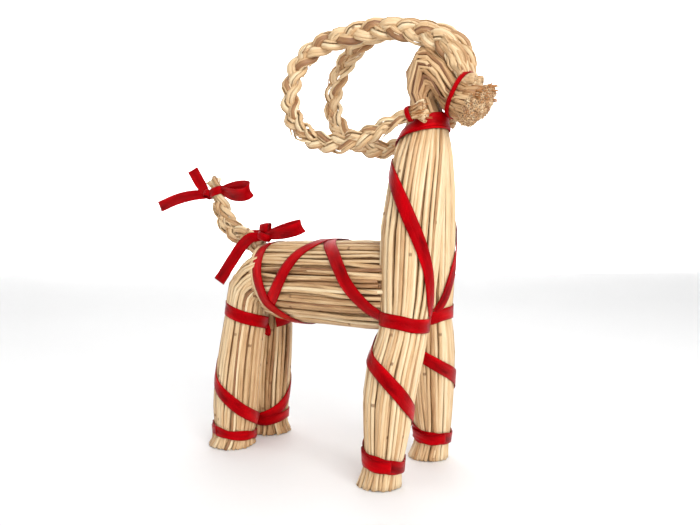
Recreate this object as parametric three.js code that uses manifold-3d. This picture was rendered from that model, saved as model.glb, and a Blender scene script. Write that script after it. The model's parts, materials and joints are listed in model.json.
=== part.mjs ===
// A straw Yule goat standing on its four feet, in millimetres.
// +X is the way the goat faces, +Y its left side, +Z up; side is -1 for the right half and 1 for the left.
// Two big bundles of rye straw make the goat. The front one is doubled over at the head, tied at the
// throat, and parted at the waist into the forelegs. The rear one is the body, which bends down over
// the rump into the hind legs. Horns and tail are three-strand braids, and red satin ribbon ties it all.

import * as THREE from "three";
import { mergeVertices } from "three/addons/utils/BufferGeometryUtils.js";
import Module from "manifold-3d";

const wasm = await Module();
wasm.setup();

// ---- Driving sizes ----

const FLUTES = 10; // raised straws round each half bundle
const FLUTE_DEPTH = 0.8;
const GAP = 0.35; // between neighbouring pieces

// Front half bundle by height: [z, x, distance of its centre from the middle plane, radius]
const FRONT = [
  [0, 76.5, 37.8, 16.3],
  [9, 78.5, 38, 14.5],
  [17, 80.2, 38, 13.7],
  [32, 80.6, 35.5, 15.9],
  [60, 80.8, 32, 18.7],
  [82, 82.3, 27.6, 20],
  [100, 85, 22.5, 18.8],
  [115, 86.2, 18.6, 17.6],
  [135, 86.4, 15, 20.5],
  [165, 87, 13, 21.7],
  [191, 87.9, 11, 22],
  [209, 89.7, 9, 21],
  [231, 91, 5, 19.9],
  [245, 92, 2.5, 18.1],
  [257, 93.6, 0.5, 14.6],
];
const NECK_SPLIT = 228; // the two halves run together above this height

// Hind half bundle by height, in the same form
const HIND = [
  [0, -76.5, 24.5, 20],
  [9, -75.5, 22.6, 17],
  [24, -75.7, 20.6, 18.8],
  [41, -74.6, 19.7, 19.6],
  [62, -72.2, 19.6, 19.1],
  [84, -69.5, 18.8, 18.4],
  [103, -67, 17, 18],
  [118, -65.7, 15, 18],
];
// The bend of the rump about its inner corner: [degrees above +X, inner reach, outer reach, half width]
const RUMP_CORNER = { x: -46, z: 118 };
const RUMP_MIDDLE = 15; // each half of the rump lies this far from the middle plane
const RUMP = [
  [162, 1.5, 38.6, 18],
  [142, 1.5, 40.6, 18],
  [122, 1.5, 41.5, 18],
  [104, 1.5, 43.5, 15.5],
  [90, 1.5, 45.5, 12],
];

const BODY = { z: 138.5, front: 72, rear: -50, rearSlope: 0.26, flutes: 18 };
// Body radius along x
const GIRTH = [
  [-60, 30.8],
  [-34, 33.2],
  [5, 33.6],
  [72, 33],
];

// The head: sections turn about the inside of the fold, then run on along the muzzle
const FOLD = { x: 104, z: 272 };
const HEAD = [
  [178, 2, 20.5, 16.6],
  [158, 2, 25.5, 17.8],
  [139, 2, 33.5, 19.2],
  [121, 2, 39.6, 19.4],
  [105, 2, 42.6, 19],
  [89, 1, 36.5, 18.4],
  [75, 0, 30, 16.6],
];
const MUZZLE_TILT = 27.6; // degrees down from level
// Along the muzzle from the fold: [distance, underside, top, half width, forward rake of the top]
const MUZZLE = [
  [0, -1.5, 24, 15.4, 0],
  [6, -4.5, 20.4, 14.2, 0],
  [13.3, -6.4, 17.6, 12.8, 0],
  [20, -8, 20.4, 16.6, 0.06],
  [28, -8.6, 25, 20.6, 0.2],
  [31.5, -4, 20.6, 15.5, 0.2],
];
const TIE_AT = 13.3; // the muzzle tie, from the fold

// Braids
const BRAID = { pitch: 42, swing: 3.8, depth: 2.8, strand: 3.6, step: 5 };
const RIGHT_HORN = [
  [133.6, -5.4, 282.4],
  [125.6, -5.4, 284.9],
  [122.4, -6.8, 293],
  [116, -8.4, 305.5],
  [105.5, -8.8, 314],
  [90, -9.2, 320.5],
  [60, -11, 327.6],
  [28, -15, 324.5],
  [8, -18, 319.5],
  [-7, -22, 306.5],
  [-12, -25, 286],
  [-7.5, -27, 265.5],
  [11, -28, 249.5],
  [37, -28, 243.8],
  [62, -26.4, 249],
  [80, -25.4, 256.5],
  [93, -23.8, 261],
  [104, -22.8, 262.5],
];
const LEFT_HORN = [
  [133.6, 5.4, 282.4],
  [125.6, 5.4, 284.9],
  [122.4, 6.8, 293],
  [117.5, 8.4, 306.5],
  [108, 8.8, 317],
  [91, 9.4, 325],
  [60, 10.8, 333],
  [36, 14, 331.4],
  [14, 20, 320.5],
  [0, 24.5, 307.5],
  [-8, 27, 288],
  [-5.5, 27.5, 271],
  [10, 27.5, 255.5],
  [34, 27, 245],
  [60, 26.6, 247.5],
  [80, 25.4, 256],
  [93, 23.8, 261],
  [104, 22.8, 262.5],
];
const TAIL = [
  [-61.5, 0, 164.5],
  [-72, 0, 168.5],
  [-84, 0, 174.5],
  [-96, 0, 180.5],
  [-106, 0, 191],
  [-111.5, 0, 204],
  [-115.5, 0, 216],
  [-120, 0, 226],
];

const RIBBON = { width: 10, thick: 0.6, narrow: 3.6 };

// ---- Small helpers ----

const rad = THREE.MathUtils.degToRad;
const vec = (x, y, z) => new THREE.Vector3(x, y, z);

// A value list read at t, straight from one row to the next; the first column is t.
function between(rows, t) {
  let i = 1;
  while (i < rows.length - 1 && rows[i][0] < t) i += 1;
  const [a, b] = [rows[i - 1], rows[i]];
  const f = THREE.MathUtils.clamp((t - a[0]) / (b[0] - a[0]), 0, 1);
  return a.map((value, k) => value + f * (b[k] - value));
}

// A solid through rings of equal length, each seen anticlockwise from the far end; a closed one
// runs on from its last ring to its first, and an open one is capped. The faces are split on the same
// slant on both sides, so that a thin ring which twists on its way keeps its thickness.
function loft(rings, closed = false) {
  const count = rings[0].length;
  const points = rings.flat();
  const faces = [];
  for (let r = 0; r < rings.length - (closed ? 0 : 1); r += 1) {
    const next = ((r + 1) % rings.length) * count;
    for (let i = 0; i < count; i += 1) {
      const j = (i + 1) % count;
      const [a, b, c, d] = [r * count + i, r * count + j, next + j, next + i];
      faces.push(...(2 * i < count ? [a, b, c, a, c, d] : [a, b, d, b, c, d]));
    }
  }
  const last = (rings.length - 1) * count;
  const ends = closed ? [] : [[0, false], [last, true]];
  for (const [start, turn] of ends) {
    const middle = points.length;
    const ring = points.slice(start, start + count);
    points.push(ring.reduce((sum, p) => sum.add(p), vec(0, 0, 0)).divideScalar(count));
    for (let i = 0; i < count; i += 1) {
      const [a, b] = [start + i, start + ((i + 1) % count)];
      faces.push(...(turn ? [a, b, middle] : [b, a, middle]));
    }
  }
  const geometry = new THREE.BufferGeometry().setFromPoints(points);
  geometry.setIndex(faces);
  return geometry;
}

function toSolid(geometry) {
  const bare = geometry.clone();
  bare.deleteAttribute("normal");
  bare.deleteAttribute("uv");
  const merged = mergeVertices(bare, 1e-4);
  return new wasm.Manifold(
    new wasm.Mesh({
      numProp: 3,
      vertProperties: merged.attributes.position.array,
      triVerts: new Uint32Array(merged.index.array),
    }),
  );
}

function toGeometry(solid) {
  const mesh = solid.getMesh();
  const geometry = new THREE.BufferGeometry();
  geometry.setAttribute("position", new THREE.BufferAttribute(mesh.vertProperties, 3));
  geometry.setIndex(new THREE.BufferAttribute(mesh.triVerts, 1));
  return geometry;
}

const join = (geometries) =>
  toGeometry(geometries.map(toSolid).reduce((whole, solid) => whole.add(solid)));

// A fluted oval ring: across and deep are its two half-axis vectors.
function fluted(middle, across, deep, flutes = FLUTES) {
  const ring = [];
  for (let i = 0; i < 2 * flutes; i += 1) {
    const turn = (Math.PI * i) / flutes;
    const cut = i % 2 ? FLUTE_DEPTH : 0;
    const a = across.clone().multiplyScalar((1 - cut / across.length()) * Math.cos(turn));
    const d = deep.clone().multiplyScalar((1 - cut / deep.length()) * Math.sin(turn));
    ring.push(middle.clone().add(a).add(d));
  }
  return ring;
}

// ---- Straw bundles ----

// A level ring of a half bundle, grown by grow.
function legRing(rows, z, side, grow = 0) {
  const [, x, out, radius] = between(rows, z);
  const r = radius + grow;
  return fluted(vec(x, side * out, z), vec(r, 0, 0), vec(0, r, 0));
}

function frontHalf(side, grow = 0) {
  const heights = FRONT.map((row) => row[0]).filter((z) => z < NECK_SPLIT);
  return loft([...heights, NECK_SPLIT + 4].map((z) => legRing(FRONT, z, side, grow)));
}

// How far the outline of the joined neck lies from its middle in a direction.
function neckReach(z, turn, lift) {
  const [, , out, radius] = between(FRONT, z);
  const r = radius + lift;
  const along = out * Math.abs(Math.sin(turn));
  return along + Math.sqrt(Math.max(r * r - (out * Math.cos(turn)) ** 2, 1));
}

function throatRing(z, grow) {
  const x = between(FRONT, z)[1];
  const ring = [];
  for (let i = 0; i < 2 * FLUTES; i += 1) {
    const turn = (Math.PI * i) / FLUTES;
    const reach = neckReach(z, turn, grow) - (i % 2 ? FLUTE_DEPTH : 0);
    ring.push(vec(x + reach * Math.cos(turn), reach * Math.sin(turn), z));
  }
  return ring;
}

// A section across the head or rump bend: an oval between two reaches from a corner.
function bendRing(corner, degrees, inner, outer, half, middle = 0) {
  const turn = rad(degrees);
  const away = vec(Math.cos(turn), 0, Math.sin(turn));
  const centre = vec(corner.x, middle, corner.z).addScaledVector(away, (inner + outer) / 2);
  return fluted(centre, away.multiplyScalar((inner - outer) / 2), vec(0, half, 0));
}

function muzzlePoint(along, above, y = 0) {
  const tilt = rad(MUZZLE_TILT);
  const x = FOLD.x + along * Math.cos(tilt) + above * Math.sin(tilt);
  return vec(x, y, FOLD.z - along * Math.sin(tilt) + above * Math.cos(tilt));
}

function muzzleRing([along, under, top, half, rake]) {
  const away = muzzlePoint(rake, 1).sub(muzzlePoint(0, 0));
  const centre = muzzlePoint(along, (under + top) / 2);
  return fluted(centre, away.multiplyScalar((under - top) / 2), vec(0, half, 0));
}

function head() {
  const throat = [NECK_SPLIT - 2, NECK_SPLIT + 6, 245, 257];
  return loft([
    ...throat.map((z, i) => throatRing(z, i ? 0.1 : -1)),
    ...HEAD.map(([degrees, ...row]) => bendRing(FOLD, degrees, ...row)),
    ...MUZZLE.map(muzzleRing),
  ]);
}

const frontBundle = () => join([frontHalf(-1), frontHalf(1), head()]);

function hindHalf(side) {
  const rings = HIND.map(([z]) => legRing(HIND, z, side));
  const bend = RUMP.map(([degrees, ...row]) =>
    bendRing(RUMP_CORNER, degrees, ...row, side * RUMP_MIDDLE),
  );
  const inside = bend[bend.length - 1].map((p) => p.clone().setX(-40));
  return loft([...rings, ...bend, inside]);
}

function bodyRing(x, slope, flutes) {
  const radius = between(GIRTH, x)[1];
  const ring = fluted(vec(x, 0, BODY.z), vec(0, 0, -radius), vec(0, radius, 0), flutes);
  for (const p of ring) p.x -= slope * (p.z - BODY.z);
  return ring;
}

function rearBundle() {
  const rows = [
    [BODY.rear, BODY.rearSlope],
    [-34, BODY.rearSlope / 2],
    [5, 0],
    [BODY.front, 0],
  ];
  const body = loft(rows.map(([x, slope]) => bodyRing(x, slope, BODY.flutes)));
  const whole = [body, hindHalf(-1), hindHalf(1)].map(toSolid);
  const neck = [frontHalf(-1, GAP), frontHalf(1, GAP)].map(toSolid);
  const straws = whole.reduce((sum, solid) => sum.add(solid));
  return toGeometry(neck.reduce((rest, solid) => rest.subtract(solid), straws));
}

// ---- Braids ----

// Reach of a three-strand braid's outline in each direction, at a distance along it.
function braidReach(distance, turn) {
  let reach = 1;
  for (let strand = 0; strand < 3; strand += 1) {
    const phase = (2 * Math.PI * distance) / BRAID.pitch + (2 * Math.PI * strand) / 3;
    const [x, y] = [BRAID.swing * Math.sin(phase), BRAID.depth * Math.sin(2 * phase)];
    const along = x * Math.cos(turn) + y * Math.sin(turn);
    const off = x * Math.sin(turn) - y * Math.cos(turn);
    const left = BRAID.strand ** 2 - off * off;
    if (left > 0) reach = Math.max(reach, along + Math.sqrt(left));
  }
  return reach;
}

// A braid along a smooth course; sizes rows are [share of its length, wide scale, thick scale].
function braid(course, sizes, sides) {
  const curve = new THREE.CatmullRomCurve3(course.map((p) => vec(...p)), false, "centripetal");
  curve.arcLengthDivisions = 800;
  const length = curve.getLength();
  const steps = Math.round(length / BRAID.step);
  const rings = [];
  for (let s = 0; s <= steps; s += 1) {
    const share = s / steps;
    const at = curve.getPointAt(share);
    const tangent = curve.getTangentAt(share);
    const flat = vec(0, 1, 0).addScaledVector(tangent, -tangent.y).normalize();
    const wide = flat.clone().cross(tangent);
    const [, w, t] = between(sizes, share);
    const ring = [];
    for (let i = 0; i < sides; i += 1) {
      const turn = (2 * Math.PI * i) / sides;
      const reach = braidReach(share * length, turn);
      ring.push(
        at
          .clone()
          .addScaledVector(wide, reach * w * Math.cos(turn))
          .addScaledVector(flat, reach * t * Math.sin(turn)),
      );
    }
    rings.push(ring);
  }
  return loft(rings);
}

const HORN_SIZES = [
  [0, 0.42, 0.68],
  [0.028, 0.39, 0.62],
  [0.063, 0.78, 0.86],
  [0.09, 1.08, 1.1],
  [0.2, 1, 1.05],
  [0.45, 1, 1.15],
  [0.65, 1, 1.05],
  [0.9, 0.8, 0.85],
  [0.965, 0.62, 0.64],
  [1, 1.2, 0.6],
];
const horn = (course) => braid(course, HORN_SIZES, 6);
const TAIL_SIZES = [
  [0, 0.95, 0.95],
  [0.3, 1.15, 1],
  [0.7, 1.1, 1],
  [0.82, 0.9, 0.9],
  [0.87, 0.8, 0.85],
  [1, 1, 0.9],
];

// ---- Ribbons ----

// The four corners of a ribbon's section, from the edges of its inner face and the unit vector out of it
function ribbonRing(a, b, out) {
  const [c, d] = [b, a].map((edge) => edge.clone().addScaledVector(out, RIBBON.thick));
  return [a, b, c, d];
}

// A ribbon wound on a surface: surface(u, v, lift) gives a point, and course rows are [u, v, lift].
// A closed one comes round to where it began.
function wound(surface, course, steps, { width = RIBBON.width, closed = false } = {}) {
  const rows = course.map((row) => vec(...row));
  const path = new THREE.CatmullRomCurve3(rows, false, "catmullrom", 0.5);
  const point = ({ x, y, z }) => surface(x, y, z);
  const nudge = 0.004; // share of the path, for its direction
  const rings = [];
  for (let s = 0; s < steps + (closed ? 0 : 1); s += 1) {
    const share = s / steps;
    const { x: u, y: v, z: lift } = path.getPoint(share);
    const before = point(path.getPoint(Math.max(share - nudge, 0)));
    const after = point(path.getPoint(Math.min(share + nudge, 1)));
    const out = surface(u, v, lift + 1).sub(surface(u, v, lift)).normalize();
    const across = out.clone().cross(after.sub(before)).setLength(width / 2);
    const du = surface(u + 0.5, v, lift).sub(surface(u - 0.5, v, lift));
    const dv = surface(u, v + 0.5, lift).sub(surface(u, v - 0.5, lift));
    const [uu, uv, vv] = [du.dot(du), du.dot(dv), dv.dot(dv)];
    const [au, av] = [across.dot(du), across.dot(dv)];
    const det = uu * vv - uv * uv;
    const [a, b] = [(au * vv - av * uv) / det, (av * uu - au * uv) / det];
    rings.push(ribbonRing(surface(u - a, v - b, lift), surface(u + a, v + b, lift), out));
  }
  return loft(rings, closed);
}

const legSurface = (rows, side) => (z, degrees, lift) => {
  const [, x, out, radius] = between(rows, z);
  const [turn, r] = [rad(degrees), radius + lift];
  return vec(x + r * Math.cos(turn), side * (out + r * Math.sin(turn)), z);
};

// Both halves of a pair of bundles as one surface: v = 0 is midway between them, where the ribbon
// runs straight across, and either way from there it follows a half round from the angle meet.
const CROSSING = 24;
const pairSurface = (rows, meet, sense) => (z, v, lift) => {
  const beyond = Math.abs(v) - CROSSING / 2;
  const turn = meet + sense * Math.max(beyond, 0);
  const half = legSurface(rows, v < 0 ? -1 : 1)(z, turn, lift);
  if (beyond < 0) half.y *= Math.abs(v) / (CROSSING / 2);
  return half;
};

const bodySurface = (x, degrees, lift) => {
  const r = between(GIRTH, x)[1] + lift;
  return vec(x, r * Math.sin(rad(degrees)), BODY.z + r * Math.cos(rad(degrees)));
};

const neckSurface = (z, degrees, lift) => {
  const x = between(FRONT, z)[1];
  const reach = neckReach(z, rad(degrees), lift);
  return vec(x + reach * Math.cos(rad(degrees)), reach * Math.sin(rad(degrees)), z);
};

// A closed band: at(turn) gives the point on its inner face, about the unit vector axis.
function hoop(centre, axis, at, steps, width) {
  const half = axis.clone().multiplyScalar(width / 2);
  const rings = [];
  for (let s = 0; s < steps; s += 1) {
    const p = at((2 * Math.PI * s) / steps);
    const out = p.clone().sub(centre).projectOnPlane(axis).normalize();
    rings.push(ribbonRing(p.clone().sub(half), p.clone().add(half), out));
  }
  return loft(rings, true);
}

const LIFT = 1; // a ribbon's inner face above the straws
const LOOSE = 1.45; // where it winds steeply and bridges more of a round
const OVER = 2; // and above another ribbon

// A ribbon that winds down a leg and once round its foot.
function legRibbon(rows, side, spiral, foot) {
  const start = spiral[spiral.length - 1][1];
  const course = spiral.map(([z, turn]) => [z, turn, LOOSE]);
  const steps = 8;
  for (let s = 1; s <= steps; s += 1) {
    const turn = start + (foot.sense * 370 * s) / steps;
    const lift = s > steps - 4 ? OVER + LOOSE - LIFT : LIFT;
    course.push([foot.z + foot.tilt * Math.cos(rad(turn - foot.high)), turn, lift]);
  }
  return wound(legSurface(rows, side), course, 38, { width: foot.width });
}

const foreRibbonRight = () =>
  legRibbon(
    FRONT,
    -1,
    [
      [102, 185],
      [93, 147],
      [83, 92],
      [72, 54],
      [57, 8],
      [46, -45],
      [36, -110],
      [27, -180],
      [21, -240],
    ],
    { z: 18.8, tilt: 2.6, high: 160, sense: -1, width: 10 },
  );

const foreRibbonLeft = () =>
  legRibbon(
    FRONT,
    1,
    [
      [102, -172],
      [95, -125],
      [84, -70],
      [75, -28],
      [64, 28],
      [52, 90],
      [40, 150],
      [29, 205],
      [21, 255],
    ],
    { z: 18.9, tilt: 0.8, high: 200, sense: 1, width: 10 },
  );

const hindRibbonRight = () =>
  legRibbon(
    HIND,
    -1,
    [
      [84, 190],
      [66, 150],
      [54, 116],
      [42, 70],
      [31.6, 31],
      [24, -10],
      [18, -60],
      [14, -120],
      [12.5, -180],
    ],
    { z: 10.6, tilt: 3.6, high: 130, sense: -1, width: 8.6 },
  );

const hindRibbonLeft = () =>
  legRibbon(
    HIND,
    1,
    [
      [84, 190],
      [68, 130],
      [54, 78],
      [42, 35],
      [30, 2],
      [22, -32],
      [16, -80],
      [14.5, -130],
      [14, -180],
    ],
    { z: 15, tilt: 2, high: 40, sense: -1, width: 9 },
  );

const waistRibbon = () =>
  wound(
    pairSurface(FRONT, -60, 1),
    [
      [117.5, -214, LIFT],
      [116, -150, LIFT],
      [113.5, -110, LIFT],
      [112.5, -60, LIFT],
      [113.5, -14, LIFT],
      [115, 14, LIFT],
      [118, 50, LIFT],
      [119.5, 110, LIFT],
      [119, 150, LIFT],
      [118, 214, LIFT],
    ],
    36,
  );

const hipRibbon = () =>
  wound(
    pairSurface(HIND, 180, -1),
    [
      [102, -232, LIFT],
      [104.5, -192, LIFT],
      [109, -138, LIFT],
      [114.5, -80, LIFT],
      [117, -30, LIFT],
      [117.5, 0, LIFT],
      [117, 30, LIFT],
      [114.5, 80, LIFT],
      [109, 138, LIFT],
      [104.5, 192, LIFT],
      [102, 232, LIFT],
    ],
    40,
  );

// The lacing of the body, from one flank at the waist over the back to the other flank at the rump
function bodyRibbon(side, crossing) {
  const course = [
    [66, 121, LIFT],
    [59, 109, LIFT],
    [46, 85, LIFT],
    [39, 69, LIFT],
    [30, 50, LIFT],
    [18, 26, crossing],
    [10, 0, crossing],
    [4, -26, crossing],
    [-4, -44, LIFT],
    [-11.5, -69, LIFT],
    [-16, -85, LIFT],
    [-23, -104, LIFT],
    [-32, -122, LIFT],
  ];
  const onSide = course.map(([x, turn, lift]) => [x, side * turn, lift]);
  const lace = toSolid(wound(bodySurface, onSide, 26));
  return toGeometry(lace.subtract(toSolid(frontHalf(side, GAP))));
}

// The band round the rump, in front of the tail, down both flanks and under the belly
const rumpBand = () =>
  wound(
    bodySurface,
    [
      [-47, 0, LIFT],
      [-47, 35, LIFT],
      [-42, 73, LIFT],
      [-36, 100, OVER],
      [-32, 119, OVER],
      [-21, 141, OVER],
      [-15, 163, LIFT],
      [-14, 180, LIFT],
      [-15, 197, LIFT],
      [-21, 219, OVER],
      [-32, 241, OVER],
      [-36, 260, OVER],
      [-42, 287, LIFT],
      [-47, 325, LIFT],
      [-47, 360, LIFT],
    ],
    38,
    { closed: true },
  );

const chestRibbon = () =>
  wound(
    neckSurface,
    [
      [124.5, -39, LIFT],
      [134, -42, LIFT],
      [145, -45, LIFT],
      [156, -50, LIFT],
      [178.5, -66, LIFT],
      [199, -85, LIFT],
      [217, -111, LIFT],
      [226, -140, LIFT],
      [229, -180, LIFT],
      [226, -220, LIFT],
      [217, -249, LIFT],
      [199, -275, LIFT],
      [178.5, -302, LIFT],
      [159, -319, LIFT],
      [141, -334, LIFT],
      [127, -340, LIFT],
    ],
    38,
  );

// The throat band is highest under the chin and lowest at the nape
const THROAT = { z: 252, chin: 5, cheek: 0.7, lift: 0.7 };
function throatRibbon() {
  const rings = [];
  const steps = 20;
  for (let s = 0; s < steps; s += 1) {
    const turn = (2 * Math.PI * s) / steps;
    const z = THROAT.z + THROAT.chin * Math.cos(turn) - THROAT.cheek * Math.cos(2 * turn);
    const degrees = THREE.MathUtils.radToDeg(turn);
    const [a, b] = [-0.48, 0.48].map((share) =>
      neckSurface(z + share * RIBBON.width, degrees, THROAT.lift),
    );
    rings.push(ribbonRing(a, b, vec(Math.cos(turn), Math.sin(turn), 0)));
  }
  return loft(rings, true);
}

// The tie round the muzzle and the roots of the horns
function muzzleRibbon() {
  const [under, top, half] = [-7.4, 28.15, 15];
  const middle = (under + top) / 2;
  const roundness = 2.7;
  const at = (turn) => {
    const [c, s] = [Math.cos(turn), Math.sin(turn)];
    const bulge = (Math.abs(c) ** roundness + Math.abs(s) ** roundness) ** (-1 / roundness);
    return muzzlePoint(TIE_AT, middle - bulge * c * ((top - under) / 2), bulge * s * half);
  };
  const axis = muzzlePoint(1, 0).sub(muzzlePoint(0, 0));
  return hoop(muzzlePoint(TIE_AT, middle), axis, at, 18, RIBBON.narrow);
}

// A band round a braid at a share of its length
function braidTie(course, share, wide, thick, width) {
  const curve = new THREE.CatmullRomCurve3(course.map((p) => vec(...p)), false, "centripetal");
  const [centre, axis] = [curve.getPointAt(share), curve.getTangentAt(share)];
  const flat = vec(0, 1, 0).addScaledVector(axis, -axis.y).normalize();
  const across = flat.clone().cross(axis);
  const at = (turn) =>
    centre
      .clone()
      .addScaledVector(across, wide * Math.cos(turn))
      .addScaledVector(flat, thick * Math.sin(turn));
  return hoop(centre, axis, at, 10, width);
}

// A free ribbon along points, its width lying along across, which may turn on the way
function freeRibbon(points, across, steps) {
  const curve = new THREE.CatmullRomCurve3(points.map((p) => vec(...p)), false, "centripetal");
  const [first, last] = [across[0], across[across.length - 1]].map((v) => vec(...v));
  const rings = [];
  for (let s = 0; s <= steps; s += 1) {
    const at = curve.getPoint(s / steps);
    const along = curve.getTangent(s / steps);
    const wide = first.clone().lerp(last, s / steps);
    wide.projectOnPlane(along).setLength(RIBBON.width / 2);
    const out = along.cross(wide).normalize();
    rings.push(ribbonRing(at.clone().sub(wide), at.clone().add(wide), out));
  }
  return loft(rings);
}

const knot = (centre, sizes) =>
  new THREE.SphereGeometry(1, 7, 5).rotateX(Math.PI / 2).scale(...sizes).translate(...centre);

// Where a loop of ribbon runs: [share of the way to its far end, share of its spread]
const LOOP = [
  [0, 0.15],
  [0.35, 0.8],
  [0.75, 1],
  [1, 0],
  [0.75, -1],
  [0.35, -0.8],
  [0, -0.15],
];

// A loop of ribbon out from a knot to a far end and back, opening by spread across its way
function bowLoop(from, to, spread, across, steps) {
  const [a, b, s] = [from, to, spread].map((v) => vec(...v));
  const points = LOOP.map(([share, side]) => a.clone().lerp(b, share).addScaledVector(s, side).toArray());
  return freeRibbon(points, [across], steps);
}

// The rump band is tied in a bow beside the root of the tail
const rumpRibbon = () =>
  join([
    rumpBand(),
    knot([-54.5, -7, 174.6], [6, 5.4, 3.8]),
    bowLoop([-54.5, -7, 176], [-54, -6, 185], [0, 1.6, 0], [1, 0, 0.1], 6),
    bowLoop([-52, -7, 176], [-17.5, -4, 182.5], [0.8, 2.6, 2], [-0.5, 0, 0.86], 8),
    freeRibbon(
      [
        [-55.5, -9, 174.5],
        [-64, -13, 174],
        [-73.5, -13.5, 167.5],
        [-84, -14.5, 155],
        [-99.5, -15, 136],
      ],
      [[0, 0.75, 0.65], [0.84, -0.33, -0.36]],
      6,
    ),
    freeRibbon(
      [
        [-54.5, -4, 176.4],
        [-58, 3, 177],
        [-68, 10, 177],
        [-96, 12, 176.5],
        [-113, 12, 184],
      ],
      [[0.9, 0.4, 0.2], [0, 0.1, 1]],
      6,
    ),
  ]);

const tailRibbon = () =>
  join([
    braidTie(TAIL, 0.86, 8.3, 7, 8),
    knot([-124.6, -2.4, 212.4], [2.6, 3.4, 4.4]),
    freeRibbon(
      [
        [-123.4, -3, 211.8],
        [-134, -7, 212],
        [-154, -10, 209],
        [-177, -12, 202],
      ],
      [[-0.35, 0, 0.93], [-0.3, -0.2, 0.9]],
      6,
    ),
    freeRibbon(
      [
        [-125.5, -4, 214.5],
        [-133, -3.5, 222.5],
        [-144, -2, 235.5],
      ],
      [[0.76, 0.5, 0.41]],
      4,
    ),
    bowLoop([-106.8, -2, 215.5], [-75, -3, 213.5], [0.6, 2.6, 3], [-0.2, -0.3, 0.93], 8),
  ]);

// ---- The goat ----

const straw = (color) => new THREE.MeshStandardMaterial({ color, roughness: 0.75, metalness: 0 });
const satin = () => new THREE.MeshStandardMaterial({ color: 0xb0000e, roughness: 0.4, metalness: 0 });

const goat = new THREE.Group();

function add(name, geometry, material) {
  const mesh = new THREE.Mesh(geometry, material);
  mesh.name = name;
  goat.add(mesh);
}

add("front_bundle", frontBundle(), straw(0xe6cda0));
add("rear_bundle", rearBundle(), straw(0xdcc193));
add("horn_right", horn(RIGHT_HORN), straw(0xd8b98a));
add("horn_left", horn(LEFT_HORN), straw(0xd8b98a));
add("tail", braid(TAIL, TAIL_SIZES, 6), straw(0xd8bc90));
add("muzzle_ribbon", muzzleRibbon(), satin());
add("throat_ribbon", throatRibbon(), satin());
add("chest_ribbon", chestRibbon(), satin());
add("waist_ribbon", waistRibbon(), satin());
add("body_ribbon_right", bodyRibbon(-1, LIFT), satin());
add("body_ribbon_left", bodyRibbon(1, OVER), satin());
add("rump_ribbon", rumpRibbon(), satin());
add("hip_ribbon", hipRibbon(), satin());
add("foreleg_ribbon_right", foreRibbonRight(), satin());
add("foreleg_ribbon_left", foreRibbonLeft(), satin());
add("hindleg_ribbon_right", hindRibbonRight(), satin());
add("hindleg_ribbon_left", hindRibbonLeft(), satin());
add("horn_tie_right", braidTie(RIGHT_HORN, 0.965, 5.6, 5, RIBBON.narrow), satin());
add("horn_tie_left", braidTie(LEFT_HORN, 0.965, 5.6, 5, RIBBON.narrow), satin());
add("tail_ribbon", tailRibbon(), satin());

// The frame's origin is under the middle of the goat's box, on the ground.
const box = new THREE.Box3().setFromObject(goat);
const middle = box.getCenter(vec(0, 0, 0));
goat.position.set(-middle.x, -middle.y, -box.min.z);

const part = new THREE.Group();
part.add(goat);

export default part;
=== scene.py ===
"""A straw Yule goat: its straws, braids and satin ribbons, built over the goat's own solids.

Laid out as an add-on. Tables are in millimetres in the goat's own frame, as its solids have them:
+X the way the goat faces, +Y its left side, +Z up, X = 0 midway between its feet.
"""

import json
import math

import bpy
import numpy as np
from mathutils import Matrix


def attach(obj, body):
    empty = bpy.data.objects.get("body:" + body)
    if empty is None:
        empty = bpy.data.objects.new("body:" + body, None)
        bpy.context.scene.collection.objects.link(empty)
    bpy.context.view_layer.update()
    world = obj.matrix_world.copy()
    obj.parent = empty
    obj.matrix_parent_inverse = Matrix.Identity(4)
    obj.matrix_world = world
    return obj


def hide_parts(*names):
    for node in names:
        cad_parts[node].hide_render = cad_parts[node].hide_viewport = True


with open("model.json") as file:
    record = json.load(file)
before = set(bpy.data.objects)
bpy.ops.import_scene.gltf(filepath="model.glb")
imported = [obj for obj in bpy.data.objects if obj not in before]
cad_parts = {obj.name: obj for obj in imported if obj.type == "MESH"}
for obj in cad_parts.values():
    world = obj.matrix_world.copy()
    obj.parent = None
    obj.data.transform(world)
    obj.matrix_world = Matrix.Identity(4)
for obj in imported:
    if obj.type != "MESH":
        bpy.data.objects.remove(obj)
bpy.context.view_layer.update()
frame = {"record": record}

bl_info = {
    "name": "Straw Goat",
    "version": (1, 0, 0),
    "blender": (4, 5, 0),
    "location": "View3D > Sidebar > Straw Goat",
    "description": "Builds a goat of tied straw with braided horns and satin ribbons",
    "category": "Add Mesh",
}

# ---- Driving sizes, the same as the solids' ----

# Front half bundle by height: [z, x, distance of its centre from the middle plane, radius]
FRONT = np.array([
    [0, 76.5, 37.8, 16.3],
    [9, 78.5, 38, 14.5],
    [17, 80.2, 38, 13.7],
    [32, 80.6, 35.5, 15.9],
    [60, 80.8, 32, 18.7],
    [82, 82.3, 27.6, 20],
    [100, 85, 22.5, 18.8],
    [115, 86.2, 18.6, 17.6],
    [135, 86.4, 15, 20.5],
    [165, 87, 13, 21.7],
    [191, 87.9, 11, 22],
    [209, 89.7, 9, 21],
    [231, 91, 5, 19.9],
    [245, 92, 2.5, 18.1],
    [257, 93.6, 0.5, 14.6],
])
# Hind half bundle by height, in the same form
HIND = np.array([
    [0, -76.5, 24.5, 20],
    [9, -75.5, 22.6, 17],
    [24, -75.7, 20.6, 18.8],
    [41, -74.6, 19.7, 19.6],
    [62, -72.2, 19.6, 19.1],
    [84, -69.5, 18.8, 18.4],
    [103, -67, 17, 18],
    [118, -65.7, 15, 18],
])
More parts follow.
